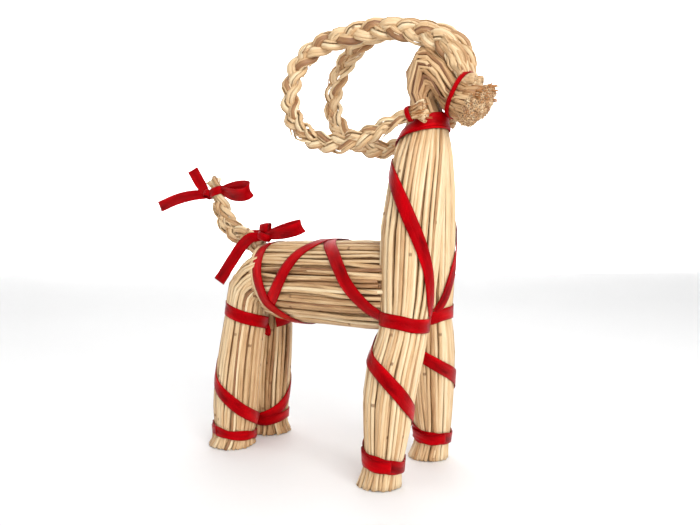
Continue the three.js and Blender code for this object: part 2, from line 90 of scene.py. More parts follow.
# The bend of the rump about its corner: [degrees above +X, inner reach, outer reach, half width]
RUMP_CORNER = (-46, 118)
RUMP_MIDDLE = 15
RUMP = np.array([
    [162, 1.5, 38.6, 18],
    [142, 1.5, 40.6, 18],
    [122, 1.5, 41.5, 18],
    [104, 1.5, 43.5, 18],
    [90, 1.5, 46, 17],
])
BODY_Z = 138.5
BODY_SLOPE = 0.26
# Body by x: [x, radius, forward shift of a point for each millimetre that it lies below the middle]
BODY = np.array([
    [-52, 30.8, BODY_SLOPE],
    [-34, 33.2, BODY_SLOPE / 2],
    [5, 33.6, 0],
    [70, 33, 0],
    [82, 31, 0],
])
# The head, about the inside of its fold, then on along the muzzle
FOLD = (104, 272)
HEAD = np.array([
    [178, 2, 20.5, 16.6],
    [158, 2, 25.5, 17.8],
    [139, 2, 33.5, 19.2],
    [121, 2, 39.6, 19.4],
    [105, 2, 42.6, 19],
    [89, 1, 36.5, 18.4],
    [75, 0, 30, 16.6],
])
MUZZLE_TILT = math.radians(27.6)
# Along the muzzle: [distance, underside, top, half width, forward rake of the top]
MUZZLE = np.array([
    [0, -1.5, 24, 15.4, 0],
    [6, -4.5, 20.4, 14.2, 0],
    [13.3, -6.4, 17.6, 12.8, 0],
    [20, -8, 20.4, 16.6, 0.06],
    [30, -9, 24.6, 20.2, 0.2],
])
TIE_AT = 13.3

BRAID_PITCH = 42
BRAID_SWING = 3.8
BRAID_DEPTH = 2.8
HORNS = {
    "right": [
        (133.6, -5.4, 282.4), (125.6, -5.4, 284.9), (122.4, -6.8, 293), (116, -8.4, 305.5),
        (105.5, -8.8, 314), (90, -9.2, 320.5), (60, -11, 327.6), (28, -15, 324.5), (8, -18, 319.5),
        (-7, -22, 306.5), (-12, -25, 286), (-7.5, -27, 265.5), (11, -28, 249.5), (37, -28, 243.8),
        (62, -26.4, 249), (80, -25.4, 256.5), (93, -23.8, 261), (104, -22.8, 262.5),
    ],
    "left": [
        (133.6, 5.4, 282.4), (125.6, 5.4, 284.9), (122.4, 6.8, 293), (117.5, 8.4, 306.5),
        (108, 8.8, 317), (91, 9.4, 325), (60, 10.8, 333), (36, 14, 331.4), (14, 20, 320.5),
        (0, 24.5, 307.5), (-8, 27, 288), (-5.5, 27.5, 271), (10, 27.5, 255.5), (34, 27, 245),
        (60, 26.6, 247.5), (80, 25.4, 256), (93, 23.8, 261), (104, 22.8, 262.5),
    ],
}
# Size of the horn's braid by share of its length: [share, wide, thick]
HORN_SIZES = np.array([
    [0, 0.5, 0.7],
    [0.026, 0.55, 0.66],
    [0.055, 0.95, 0.8],
    [0.09, 1.15, 1.0],
    [0.2, 1.16, 1.1],
    [0.45, 1.14, 1.2],
    [0.65, 1.12, 1.1],
    [0.9, 0.86, 0.88],
    [0.955, 0.62, 0.64],
    [0.97, 0.62, 0.6],
    [1, 1.25, 0.8],
])
HORN_TIE = 0.965
TAIL = [
    (-61.5, 0, 164.5), (-72, 0, 168.5), (-84, 0, 174.5), (-96, 0, 180.5),
    (-106, 0, 191), (-111.5, 0, 204), (-115.5, 0, 216), (-120, 0, 226),
]
TAIL_SIZES = np.array([
    [0, 1.05, 1],
    [0.3, 1.25, 1.1],
    [0.7, 1.2, 1.05],
    [0.82, 0.9, 0.9],
    [0.87, 0.8, 0.85],
    [1, 1.05, 0.9],
])
TAIL_TIE = 0.86

MM = 0.001
NONE = -99.0  # no knot on this straw

_foot = next(m for m in frame["record"]["mounts"] if m["name"] == "forefoot_right")["pos_m"]
ORIGIN = np.array([_foot[0] / MM - FRONT[0, 1], _foot[1] / MM + FRONT[0, 2], 0.0])


# ---- Numbers and curves ----


def unit(v):
    """Vectors scaled to length one, along the last axis."""
    return v / np.maximum(np.linalg.norm(v, axis=-1, keepdims=True), 1e-9)


def read(rows, t):
    """Each column of a table at the values t of its first column, as cubic curves through the rows
    whose slope at a row is the weighted mean of the slopes on its two sides."""
    x = rows[:, 0]
    i = np.clip(np.searchsorted(x, t, side="right") - 1, 0, len(x) - 2)
    h = x[i + 1] - x[i]
    f = np.clip((t - x[i]) / h, 0, 1)
    columns = []
    for y in rows.T[1:]:
        m = np.gradient(y, x)
        ends = (1 + 2 * f) * (1 - f) ** 2 * y[i] + f * f * (3 - 2 * f) * y[i + 1]
        columns.append(ends + f * (1 - f) * h * ((1 - f) * m[i] - f * m[i + 1]))
    return columns


def stretch(points):
    """Distance along each polyline, from 0 at its start."""
    steps = np.linalg.norm(np.diff(points, axis=-2), axis=-1)
    zero = np.zeros(steps.shape[:-1] + (1,))
    return np.concatenate([zero, np.cumsum(steps, axis=-1)], axis=-1)


def smooth(points, count, power=0.5, even=True):
    """A curve through points: cubic pieces whose slopes weigh the neighbouring chords by their
    length to the given power (0 weighs them alike), read at count places, evenly spaced if even."""
    p = np.asarray(points, float)
    p = np.concatenate([2 * p[:1] - p[1:2], p, 2 * p[-1:] - p[-2:-1]])
    gap = np.maximum(np.linalg.norm(np.diff(p[:, :3], axis=0), axis=1), 1e-6) ** power
    t = np.linspace(0, len(points) - 1, count * (8 if even else 1))
    i = np.minimum(t.astype(int), len(points) - 2)
    f = (t - i)[:, None]
    d0, d1, d2 = (gap[i + k][:, None] for k in range(3))
    a, b, c, d = (p[i + k] for k in range(4))
    m1 = ((b - a) / d0 - (c - a) / (d0 + d1) + (c - b) / d1) * d1
    m2 = ((c - b) / d1 - (d - b) / (d1 + d2) + (d - c) / d2) * d1
    curve = (1 + 2 * f) * (1 - f) ** 2 * b + f * f * (3 - 2 * f) * c
    curve = curve + f * (1 - f) * ((1 - f) * m1 - f * m2)
    if not even:
        return curve
    along = stretch(curve)
    wanted = np.linspace(0, along[-1], count)
    return np.stack([np.interp(wanted, along, column) for column in curve.T], axis=1)


# ---- Meshes ----


class Piece:
    """Gathers tubes, each a grid of rings, and makes one mesh of them.

    Corner map "lay": u once round a ring, v the distance along in decimetres.
    Face attribute "straw": (tone, place of its knot in mm, how far inside a cut end, which sets the painted shade
    down a straw's bore).
    Face attribute "warm": how orange the face is.
    """

    def __init__(self, name):
        self.name = name
        self.size = 0
        self.points, self.corners, self.sides, self.maps = [], [], [], []
        self.straw, self.warm, self.finish = [], [], []

    def add(self, grid, along, tone=0.5, knot=NONE, cut=0.0, warm=0.0, finish=0, lay=None, ring=False):
        """grid is (tubes, rings, points round, 3); along (tubes, rings) in mm; tone, knot and warm are
        one number for each tube; cut one for each tube and stretch; ring closes each tube on itself."""
        tubes, rings, around, _ = grid.shape
        index = self.size + np.arange(tubes * rings * around).reshape(tubes, rings, around)
        self.size += index.size
        self.points.append(grid.reshape(-1, 3))
        if ring:
            index = np.concatenate([index, index[:, :1]], axis=1)
            last = along[:, -1:] + np.linalg.norm(grid[:, 0, 0] - grid[:, -1, 0], axis=-1)[:, None]
            along = np.concatenate([along, last], axis=1)
        beside = np.roll(index, -1, axis=2)
        quads = np.stack([index[:, :-1], index[:, 1:], beside[:, 1:], beside[:, :-1]], axis=-1)
        lay = np.linspace(0, 1, around + 1) if lay is None else lay
        u = np.stack([lay[:-1], lay[:-1], lay[1:], lay[1:]], axis=-1)
        v = np.stack([along[:, :-1], along[:, 1:], along[:, 1:], along[:, :-1]], axis=-1) / 100
        uv = np.stack(np.broadcast_arrays(u[None, None], v[:, :, None]), axis=-1)
        self._faces(quads, uv, tone, knot, cut, warm, finish)
        if not ring:
            caps = np.stack([index[:, 0], index[:, -1, ::-1]], axis=1)[:, :, None]
            u = np.stack([lay[:-1], lay[:-1][::-1]])[None, :, None]
            v = np.stack([along[:, 0], along[:, -1]], axis=1)[:, :, None, None] / 100
            uv = np.stack(np.broadcast_arrays(u, v), axis=-1)
            ends = cut if np.isscalar(cut) else cut[:, [0, -1]]
            self._faces(caps, uv, tone, knot, ends, warm, finish)

    def _faces(self, corners, uv, tone, knot, cut, warm, finish):
        shape = corners.shape[:3]

        def spread(value):
            value = np.asarray(value, float)
            value = value.reshape(value.shape + (1,) * (3 - value.ndim)) if value.ndim else value
            return np.broadcast_to(value, shape).ravel()

        self.corners.append(corners.reshape(-1))
        self.maps.append(uv.reshape(-1, 2))
        self.sides.append(np.full(int(np.prod(shape)), corners.shape[3]))
        self.straw.append(np.stack([spread(tone), spread(knot), spread(cut)], axis=1))
        self.warm.append(spread(warm))
        self.finish.append(np.full(int(np.prod(shape)), finish))

    def make(self, materials, slot, *nodes):
        """The mesh object, riding on the goat and standing for the nodes."""
        mesh = bpy.data.meshes.new(self.name)
        points = (np.concatenate(self.points) + ORIGIN) * MM
        corners, sides = np.concatenate(self.corners), np.concatenate(self.sides)
        mesh.vertices.add(len(points))
        mesh.vertices.foreach_set("co", points.astype(np.float32).ravel())
        mesh.loops.add(len(corners))
        mesh.loops.foreach_set("vertex_index", corners.astype(np.int32))
        mesh.polygons.add(len(sides))
        mesh.polygons.foreach_set("loop_start", (np.cumsum(sides) - sides).astype(np.int32))
        mesh.polygons.foreach_set("material_index", np.concatenate(self.finish).astype(np.int32))
        mesh.polygons.foreach_set("use_smooth", np.ones(len(sides), bool))
        lay = mesh.uv_layers.new(name="lay")
        lay.data.foreach_set("uv", np.concatenate(self.maps).astype(np.float32).ravel())
        straw = mesh.attributes.new("straw", "FLOAT_VECTOR", "FACE")
        straw.data.foreach_set("vector", np.concatenate(self.straw).astype(np.float32).ravel())
        warm = mesh.attributes.new("warm", "FLOAT", "FACE")
        warm.data.foreach_set("value", np.concatenate(self.warm).astype(np.float32))
        mesh.update(calc_edges=True)
        mesh.validate()
        for material in materials:
            mesh.materials.append(material)
        piece = bpy.data.objects.new(self.name, mesh)
        bpy.context.scene.collection.objects.link(piece)
        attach(piece, "root")
        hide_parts(*nodes)
        return piece


BORE = 0.62  # a straw's bore, as a share of its width
BORE_DEPTH = 3.0


def straws(piece, paths, outward, wide, thick, tone, sides=6, hollow=(False, False), **marks):
    """Lays a straw along each path: at every station an oval ring whose wide half-axis lies across the
    path, level with the surface below, and whose thick half-axis stands along outward. A hollow end
    turns in over its rim and runs back down the bore."""
    count, stations, _ = paths.shape
    tangent = unit(np.gradient(paths, axis=1))
    across = unit(np.cross(tangent, outward))
    up = np.cross(across, tangent)
    wide, thick = (np.broadcast_to(np.asarray(w, float), (count, stations)) for w in (wide, thick))
    along = stretch(paths)
    cut = np.zeros((count, stations - 1))
    for end, at in ((0, slice(0, 1)), (1, slice(-1, None))):
        if not hollow[end]:
            continue
        back = tangent[:, at] * (BORE_DEPTH if end == 0 else -BORE_DEPTH)
        mouth = [paths[:, at], paths[:, at] + back]
        order = 1 if end else -1

        def grown(array, extra):
            """The array with its extra stations before its start or after its end."""
            parts = [array] + list(extra)
            return np.concatenate(parts[::order], axis=1)

        axes = [across[:, at]] * 2
        ups = [up[:, at]] * 2
        wides, thicks = ([w[:, at] * BORE] * 2 for w in (wide, thick))
        alongs = [along[:, at]] * 2
        paths, across, up = grown(paths, mouth), grown(across, axes), grown(up, ups)
        wide, thick, along = grown(wide, wides), grown(thick, thicks), grown(along, alongs)
        tangent = grown(tangent, [tangent[:, at]] * 2)
        # The turned-in rim gets 0.5 and the bore 1; the material paints shade in the bore.
        cut = grown(cut, [np.full((count, 1), 0.5), np.ones((count, 1))])
    turn = np.linspace(0, 2 * np.pi, sides, endpoint=False)
    grid = paths[:, :, None] + (wide[..., None] * np.cos(turn))[..., None] * across[:, :, None]
    grid = grid + (thick[..., None] * np.sin(turn))[..., None] * up[:, :, None]
    piece.add(grid, along, tone=tone, cut=cut, **marks)


def knots(rng, count, lengths, share=0.5):
    """Where each straw's knot is, in mm along it; a share of the straws show one."""
    place = rng.uniform(0.05, 0.95, count) * lengths
    return np.where(rng.random(count) < share, place, NONE)


# ---- Bundles: each row of a bundle's table is [s, middle xyz, first half-axis xyz, second half-axis xyz] ----


def leg_sections(rows, side):
    """Level round sections of one half bundle."""
    z, x, out, r = rows.T
    o = np.zeros_like(z)
    return np.stack([z, x, side * out, z, r, o, o, o, r, o], axis=1)


def bend_sections(rows, corner, middle, start):
    """Oval sections about a corner, from their inner to their outer reach."""
    turn = np.radians(rows[:, 0])
    away = np.stack([np.cos(turn), 0 * turn, np.sin(turn)], axis=1)
    reach, deep = (rows[:, 1] + rows[:, 2]) / 2, (rows[:, 2] - rows[:, 1]) / 2
    centre = np.array([corner[0], middle, corner[1]]) + away * reach[:, None]
    half = np.stack([0 * turn, rows[:, 3], 0 * turn], axis=1)
    s = start + np.arange(len(rows), dtype=float)
    return np.concatenate([s[:, None], centre, -away * deep[:, None], half], axis=1)


def muzzle_point(along, above, y=0.0):
    """A point by its distance along the muzzle from the fold and its height over the muzzle's line."""
    c, s = math.cos(MUZZLE_TILT), math.sin(MUZZLE_TILT)
    x, z = FOLD[0] + along * c + above * s, FOLD[1] - along * s + above * c
    return np.stack(np.broadcast_arrays(x, y, z), axis=-1)


MUZZLE_WAY = muzzle_point(1.0, 0.0) - muzzle_point(0.0, 0.0)
MUZZLE_UP = muzzle_point(0.0, 1.0) - muzzle_point(0.0, 0.0)


def head_sections():
    """The throat, the fold and the muzzle as one table; s counts its rows."""
    throat = [
        [0, 92, 0, 244, 18.0, 0, 0, 0, 19.6, 0],
        [1, 93.6, 0, 258, 14.0, 0, 0, 0, 14.6, 0],
    ]
    bend = bend_sections(HEAD, FOLD, 0.0, 2)
    along, under, top, half, rake = MUZZLE.T
    up = MUZZLE_UP + rake[:, None] * MUZZLE_WAY
    zero = np.zeros((len(along), 3))
    zero[:, 1] = half
    s = bend[-1, 0] + 1 + np.arange(len(along))
    centre = muzzle_point(along, (under + top) / 2)
    muzzle = np.concatenate([s[:, None], centre, -up * ((top - under) / 2)[:, None], zero], axis=1)
    return np.concatenate([np.array(throat, float), bend, muzzle])


def hind_sections(side):
    """A hind leg and its bend over the rump as one table; s is the height on the leg, then counts on."""
    leg = leg_sections(HIND, side)
    bend = bend_sections(RUMP, RUMP_CORNER, side * RUMP_MIDDLE, 0)
    step = 12.0
    bend[:, 0] = HIND[-1, 0] + step * (1 + np.arange(len(RUMP)))
    inside = bend[-1].copy()
    inside[0] += step
    inside[1] = -38
    return np.concatenate([leg, bend, inside[None]])


def body_sections():
    """Sections of the body along x; a section leans by its slope."""
    x, r, slope = BODY.T
    o = np.zeros_like(x)
    return np.stack([x, x, o, o + BODY_Z, slope * r, o, -r, o, r, o], axis=1)


def on_bundle(table, s, turn, depth):
    """Points and outward directions at places s along a bundle and angles turn round it, at a depth
    below its skin: middle + (1 - depth over half-axis) * (first axis cos + second axis sin)."""
    columns = read(table, s)
    middle, first, second = (np.stack(columns[k : k + 3], axis=-1) for k in (0, 3, 6))
    long1, long2 = (np.linalg.norm(a, axis=-1, keepdims=True) for a in (first, second))
    c, w = np.cos(turn)[..., None], np.sin(turn)[..., None]
    d = np.asarray(depth)[..., None]
    point = middle + first * (1 - d / long1) * c + second * (1 - d / long2) * w
    return point, unit(first / long1**2 * c + second / long2**2 * w)


def spacing(table, s, count):
    """The share of the bundle's girth that each of count straws has, at places s along it."""
    columns = read(table, s)
    first, second = (np.linalg.norm(np.stack(columns[k : k + 3], axis=-1), axis=-1) for k in (3, 6))
    return np.pi * (first + second) / count


def core(piece, table, depth, stations=30, around=20):
    """Painted shade inside a bundle: a closed, dark tube at a depth below the skin, where shade falls between the
    straws.
    """
    s = np.linspace(table[0, 0] + 1, table[-1, 0], stations)[None, :, None]
    turn = -np.linspace(0, 2 * np.pi, around, endpoint=False)[None, None]
    s, turn = np.broadcast_arrays(s, turn)
    grid, _ = on_bundle(table, s, turn, np.full(s.shape, depth))
    middle = grid.mean(axis=2)
    way = np.gradient(middle, axis=1)
    leftward = np.cross(grid[:, :, 0] - middle, grid[:, :, 1] - middle)
    if np.einsum("trc,trc->", leftward, way) > 0:
        grid = grid[:, :, ::-1]
    piece.add(grid, stretch(middle), finish=1)


def layer(piece, rng, table, stations, count, depth, width, tone, wander=0.9, hollow=(True, False),
          sides=6, ends=(1.2, 0.5), knotted=0.4, straighten=None, arc=None):
    """One layer of straws round a bundle. Each keeps its angle but for a slow wander of so many
    millimetres, and narrows where the bundle's girth leaves it less room."""
    low, high = arc or (0, 2 * np.pi)
    turn = low + (high - low) * (np.arange(count) + rng.uniform(-0.22, 0.22, count)) / count
    s = np.repeat(np.asarray(stations, float)[None], count, axis=0)
    jitter = rng.uniform(-0.3, 0.3, s.shape) * np.gradient(s, axis=1)
    s = s + jitter * (np.arange(s.shape[1]) % (s.shape[1] - 1) > 0)
    s[:, 0] += rng.uniform(0, ends[0], count)
    s[:, -1] -= rng.uniform(0, ends[1], count)
    room = spacing(table, s, count * 2 * np.pi / (high - low))
    phase = rng.uniform(0, 2 * np.pi, (2, count, 1))
    long = np.arange(s.shape[1])[None] * 2.2 / s.shape[1]
    sway = np.sin(2 * long + phase[0]) + 0.5 * np.sin(5 * long + phase[1])
    girth = spacing(table, s, 1)
    angle = turn[:, None] + wander * sway / girth * 2 * np.pi
    sunk = depth + rng.uniform(-0.3, 0.45, (count, 1)) + 0.25 * np.sin(3 * long + phase[1])
    half = np.minimum(width * rng.uniform(0.9, 1.18, (count, 1)), room * 0.68)
    paths, outward = on_bundle(table, s, angle, sunk + half * 0.9)
    if straighten is not None:
        paths = straighten(paths, angle)
    lengths = stretch(paths)[:, -1]
    straws(piece, paths, outward, half, half * rng.uniform(0.72, 0.95, (count, 1)),
           np.clip(rng.normal(tone, 0.2, count), 0.02, 1), sides, hollow,
           knot=knots(rng, count, lengths, knotted))


def stubs(piece, rng, centre, way, first, second, pitch, dome, length, width, tone, warm=0.0, flare=0.3):
    """Short straws that fill a cut end: on rows a pitch apart inside the oval of half-axes first and
    second, leaning outward by flare, their ends on a low dome."""
    steps = np.arange(-12, 13)
    a, b = np.meshgrid(steps, steps)
    a = a + 0.5 * (b % 2)
    x = a * pitch + rng.uniform(-0.5, 0.5, a.shape)
    y = b * pitch * 0.87 + rng.uniform(-0.5, 0.5, a.shape)
    r1, r2 = np.linalg.norm(first), np.linalg.norm(second)
    far = np.sqrt((x / (r1 - width)) ** 2 + (y / (r2 - width)) ** 2)
    x, y, far = (v[far < 0.97] for v in (x, y, far))
    count = len(x)
    e1, e2 = first / r1, second / r2
    tip = dome * (1 - far**2) + rng.uniform(-1.0, 0.8, count)
    end = centre + x[:, None] * e1 + y[:, None] * e2 + tip[:, None] * way
    lean = unit(way - flare * (x[:, None] * e1 / r1 + y[:, None] * e2 / r2) * -1
                + rng.normal(0, 0.05, (count, 3)))
    share = np.linspace(1, 0, 4)[None, :, None]
    paths = end[:, None] - lean[:, None] * length * share
    side = unit(np.cross(lean, e1 + 0.3 * e2))
    outward = np.repeat(side[:, None], 4, axis=1)
    half = width * rng.uniform(0.8, 1.15, (count, 1))
    straws(piece, paths, outward, half, half * rng.uniform(0.6, 0.95, (count, 1)),
           np.clip(rng.normal(tone, 0.2, count), 0, 1), 6, (False, True),
           warm=np.clip(warm + rng.normal(0, 0.15, count), 0, 1) if warm else 0.0)


def splinters(piece, rng, start, way, length, thin, tone, warm, curl=0.35):
    """Thin fibres from start points along way, each bent by a random curl."""
    count = len(start)
    reach = rng.uniform(0.5, 1, count)[:, None, None] * length
    share = np.linspace(0, 1, 4)[None, :, None]
    bend = rng.normal(0, curl, (count, 1, 3))
    paths = start[:, None] + reach * (share * way[:, None] + share**2 * bend)
    taper = thin * rng.uniform(0.6, 1.3, (count, 1)) * np.array([1, 0.9, 0.7, 0.25])
    outward = np.repeat(unit(rng.normal(0, 1, (count, 3)))[:, None], 4, axis=1)
    straws(piece, paths, outward, taper, taper * 0.45, np.clip(rng.normal(tone, 0.2, count), 0, 1),
           4, (False, False), warm=np.clip(rng.normal(warm, 0.2, count), 0, 1))


# ---- Braids ----


class Course:
    """A smooth course with a frame at each station: tangent, wide (across, in the goat's upright
    plane where it can be) and flat (towards the goat's left)."""

    def __init__(self, points, step):
        rough = smooth(points, 400)
        self.length = stretch(rough)[-1]
        self.count = int(self.length / step) + 1
        self.at = smooth(points, self.count)
        self.share = np.linspace(0, 1, self.count)
        self.tangent = unit(np.gradient(self.at, axis=0))
        y = np.array([0.0, 1.0, 0.0])
        self.flat = unit(y - self.tangent * self.tangent[:, 1:2])
        self.wide = np.cross(self.flat, self.tangent)


def braid(piece, rng, points, sizes, tone, plies=7, step=3.0):
    """Three strands that pass over one another: strand k lies swing * sin(p) across and depth * sin(2p)
    outward, p being the distance over the pitch plus k thirds of a turn. Each strand is a flat sheaf
    of straws set round a low oval that turns slowly along it."""
    course = Course(points, step)
    wide_scale, thick_scale = read(sizes, course.share)
    at, tangent, wide, flat = course.at, course.tangent, course.wide, course.flat
    distance = course.share * course.length
    for strand in range(3):
        phase = 2 * np.pi * (distance / BRAID_PITCH + strand / 3)
        x, y = BRAID_SWING * np.sin(phase), BRAID_DEPTH * np.sin(2 * phase)
        centre = at + (x * wide_scale)[:, None] * wide + (y * thick_scale)[:, None] * flat
        way = unit(np.gradient(centre, axis=0))
        face = np.sign(np.cos(phase))[:, None] * 0
        up = unit(flat - way * np.sum(flat * way, axis=1, keepdims=True) + face)
        over = np.cross(up, way)
        turns = 2 * np.pi * (np.arange(plies)[:, None] + rng.uniform(-0.2, 0.2, (plies, 1))) / plies
        drift = rng.uniform(-0.9, 0.9, (plies, 1)) * course.share + 0.25 * np.sin(
            9 * course.share + rng.uniform(0, 6, (plies, 1)))
        turns = turns + drift
        a = 2.9 * np.cos(turns) * wide_scale
        b = 1.75 * np.sin(turns) * thick_scale
        paths = centre[None] + a[..., None] * over[None] + b[..., None] * up[None]
        outward = unit(np.cos(turns)[..., None] * over[None] * 0.6 + np.sin(turns)[..., None] * up[None])
        half = rng.uniform(1.15, 1.75, (plies, 1)) * np.sqrt(wide_scale)
        straws(piece, paths, outward, half, half * rng.uniform(0.4, 0.62, (plies, 1)),
               np.clip(rng.normal(tone, 0.24, plies), 0, 1), 6, (True, True),
               knot=knots(rng, plies, np.full(plies, course.length), 0.7))
    loose = rng.integers(6, course.count - 8, int(course.length / 3.2))
    side = rng.choice([-1, 1], len(loose))
    out = unit(wide[loose] * rng.normal(0, 1, (len(loose), 1)) + flat[loose] * rng.normal(0, 1, (len(loose), 1)))
    start = at[loose] + out * 5.4 * thick_scale[loose][:, None]
    splinters(piece, rng, start, tangent[loose] * side[:, None] + out * 0.32, 8.5, 0.75, tone, 0.05, 0.06)
    return course


# ---- Ribbons ----

LIFT = 0.5  # of a ribbon's underside above the straws
OVER = 1.15  # and above another ribbon
THICK = 0.4
LINES = 7  # points across a ribbon


def ribbon_section(piece, top, outward, along, ring=False):
    """A ribbon from its upper face's grid (stations, LINES, 3): the lower face lies THICK below."""
    under = top[:, ::-1] - THICK * outward[:, None]
    grid = np.concatenate([top, under], axis=1)[None]
    t = np.linspace(0, 1, top.shape[1])
    piece.add(grid, along[None], lay=np.concatenate([t, t[::-1], t[:1]]), ring=ring)


def wound(piece, surface, course, width, samples=10, ring=False, ripple=0.0, seed=0):
    """A ribbon wound on a surface: surface(u, v, lift) gives points and course rows are [u, v, lift].
    width is one number, or shares of the way and the widths there. At each station the step across the
    ribbon is turned into steps of u and v by least squares."""
    rows = np.asarray(course, float)
    path = smooth(rows, samples * (len(rows) - 1) + 1, power=0, even=False)
    if ring:
        path = path[:-1]
    u, v, lift = path.T
    at = surface(u, v, lift)
    way = np.roll(at, -1, 0) - np.roll(at, 1, 0) if ring else np.gradient(at, axis=0)
    out = unit(surface(u, v, lift + 1) - at)
    wide = np.interp(np.linspace(0, 1, len(path)), *width) if isinstance(width, tuple) else np.full(len(path), width)
    across = unit(np.cross(way, out)) * wide[:, None] / 2
    du = surface(u + 0.5, v, lift) - surface(u - 0.5, v, lift)
    dv = surface(u, v + 0.5, lift) - surface(u, v - 0.5, lift)
    uu, uv, vv = np.sum(du * du, 1), np.sum(du * dv, 1), np.sum(dv * dv, 1)
    au, av = np.sum(across * du, 1), np.sum(across * dv, 1)
    det = uu * vv - uv * uv
    a, b = (au * vv - av * uv) / det, (av * uu - au * uv) / det
    q = np.linspace(1, -1, LINES)[None]
    rng = np.random.default_rng(seed)
    along = stretch(at)
    wave = sum(np.sin(along[:, None] / k + rng.uniform(0, 6) + 1.3 * q * j) for k, j in ((5.5, 1), (9, -1)))
    bow = lift[:, None] + THICK + 0.12 * (1 - q * q) + ripple * wave * 0.5
    top = surface(u[:, None] + a[:, None] * q, v[:, None] + b[:, None] * q, bow)
    ribbon_section(piece, top, out, along, ring)


def leg_surface(rows, side):
    """The skin of a half bundle by height and degrees, 0 at the front and 90 at the outside."""

    def surface(z, degrees, lift):
        x, out, r = read(rows, z)
        turn = np.radians(degrees)
        return np.stack([x + (r + lift) * np.cos(turn), side * (out + (r + lift) * np.sin(turn)), z + 0 * turn], -1)

    return surface


CROSSING = 24  # of v for the stretch that bridges two half bundles


def pair_surface(rows, meet, sense):
    """Both half bundles as one skin: v = 0 is midway, straight across, then round each half from meet."""

    def surface(z, v, lift):
        x, out, r = read(rows, z)
        beyond = np.abs(v) - CROSSING / 2
        turn = np.radians(meet + sense * np.maximum(beyond, 0))
        y = (out + (r + lift) * np.sin(turn)) * np.where(beyond < 0, np.abs(v) / (CROSSING / 2), 1)
        return np.stack(np.broadcast_arrays(x + (r + lift) * np.cos(turn), np.sign(v) * y, z), -1)

    return surface


def body_surface(x, degrees, lift):
    """The skin of the body by x and degrees from the top towards the left."""
    r = read(BODY, x)[0] + lift
    turn = np.radians(degrees)
    return np.stack(np.broadcast_arrays(x, r * np.sin(turn), BODY_Z + r * np.cos(turn)), -1)


def neck_surface(z, degrees, lift):
    """The outline of the two halves of the neck together, by height and degrees from the front."""
    x, out, r = read(FRONT, z)
    r = r + lift
    turn = np.radians(degrees)
    reach = out * np.abs(np.sin(turn)) + np.sqrt(np.maximum(r * r - (out * np.cos(turn)) ** 2, 1))
    return np.stack(np.broadcast_arrays(x + reach * np.cos(turn), reach * np.sin(turn), z), -1)


def leg_course(spiral, foot):
    """A winding down the leg and then twice round its foot, each turn over the last."""
    z, tilt, high, sense, turns = foot
    start = spiral[-1][1]
    course = [(h, turn, LIFT + 0.1) for h, turn in spiral]
    steps = int(turns * 9)
    for k in range(1, steps + 1):
        turn = start + sense * 40 * k
        sway = 1.1 * math.sin(k * 1.9)
        course.append((z + tilt * math.cos(math.radians(turn - high)) + sway, turn, LIFT + 0.55 * k / 9))
    return course


LEG_WINDINGS = {
    "foreleg_ribbon_right": (FRONT, -1, 8.4, (18.8, 2.6, 160, -1, 2.3), [
        (102, 185), (93, 147), (83, 92), (72, 54), (57, 8), (46, -45), (36, -110), (27, -180), (21, -240)]),
    "foreleg_ribbon_left": (FRONT, 1, 8.2, (18.9, 0.8, 200, 1, 2.3), [
        (102, -172), (95, -125), (84, -70), (75, -28), (64, 28), (52, 90), (40, 150), (29, 205), (21, 255)]),
    "hindleg_ribbon_right": (HIND, -1, 6.2, (11.6, 3.2, 130, -1, 2.3), [
        (84, 190), (66, 150), (54, 116), (42, 70), (31.6, 31), (24, -10), (18, -60), (14, -120), (12.5, -180)]),
    "hindleg_ribbon_left": (HIND, 1, 8.4, (15, 2, 40, -1, 1.2), [
        (84, 190), (68, 130), (54, 78), (42, 35), (30, 2), (22, -32), (16, -80), (14.5, -130), (14, -180)]),
}

WAIST = [
    (117.5, -214, LIFT), (116, -150, LIFT), (113.5, -110, LIFT), (112.5, -60, LIFT), (113.5, -14, LIFT),
    (115, 14, LIFT), (118, 50, LIFT), (119.5, 110, LIFT), (119, 150, LIFT), (118, 214, LIFT),
]
HIP = [
    (102, -232, LIFT), (104.5, -192, LIFT), (109, -138, LIFT), (114.5, -80, LIFT), (117, -30, LIFT),
    (117.5, 0, LIFT), (117, 30, LIFT), (114.5, 80, LIFT), (109, 138, LIFT), (104.5, 192, LIFT), (102, 232, LIFT),
]


# The cut end that hangs from the hip ribbon between the hind legs
HIP_END = [(-60, -9, 107), (-54, -9, 101), (-48, -9, 92)]


def lacing(side, crossing):
    """The course of a body ribbon from a flank at the waist over the back to the other flank."""
    rows = [
        (76, 136, LIFT), (66, 121, LIFT), (59, 109, LIFT), (46, 85, LIFT), (39, 69, LIFT), (30, 50, LIFT), (18, 26, crossing),
        (10, 0, crossing), (4, -26, crossing), (-4, -44, LIFT), (-11.5, -69, LIFT), (-16, -85, LIFT),
        (-23, -104, LIFT), (-32, -122, LIFT),
    ]
    return [(x, side * turn, lift) for x, turn, lift in rows]


RUMP_BAND = [
    (-47, 0, LIFT), (-47, 35, LIFT), (-42, 73, LIFT), (-36, 100, OVER), (-32, 119, OVER), (-21, 141, OVER),
    (-15, 163, LIFT), (-14, 180, LIFT), (-15, 197, LIFT), (-21, 219, OVER), (-32, 241, OVER),
    (-36, 260, OVER), (-42, 287, LIFT), (-47, 325, LIFT), (-47, 360, LIFT),
]
CHEST = [
    (119, -36.5, LIFT), (126, -39.5, LIFT), (134, -42, LIFT), (145, -45, LIFT), (156, -50, LIFT), (178.5, -66, LIFT),
    (199, -85, LIFT), (217, -111, LIFT), (226, -140, LIFT), (229, -180, LIFT), (226, -220, LIFT),
    (217, -249, LIFT), (199, -275, LIFT), (178.5, -302, LIFT), (159, -319, LIFT), (141, -334, LIFT),
    (127, -340, LIFT), (120, -343, LIFT),
]


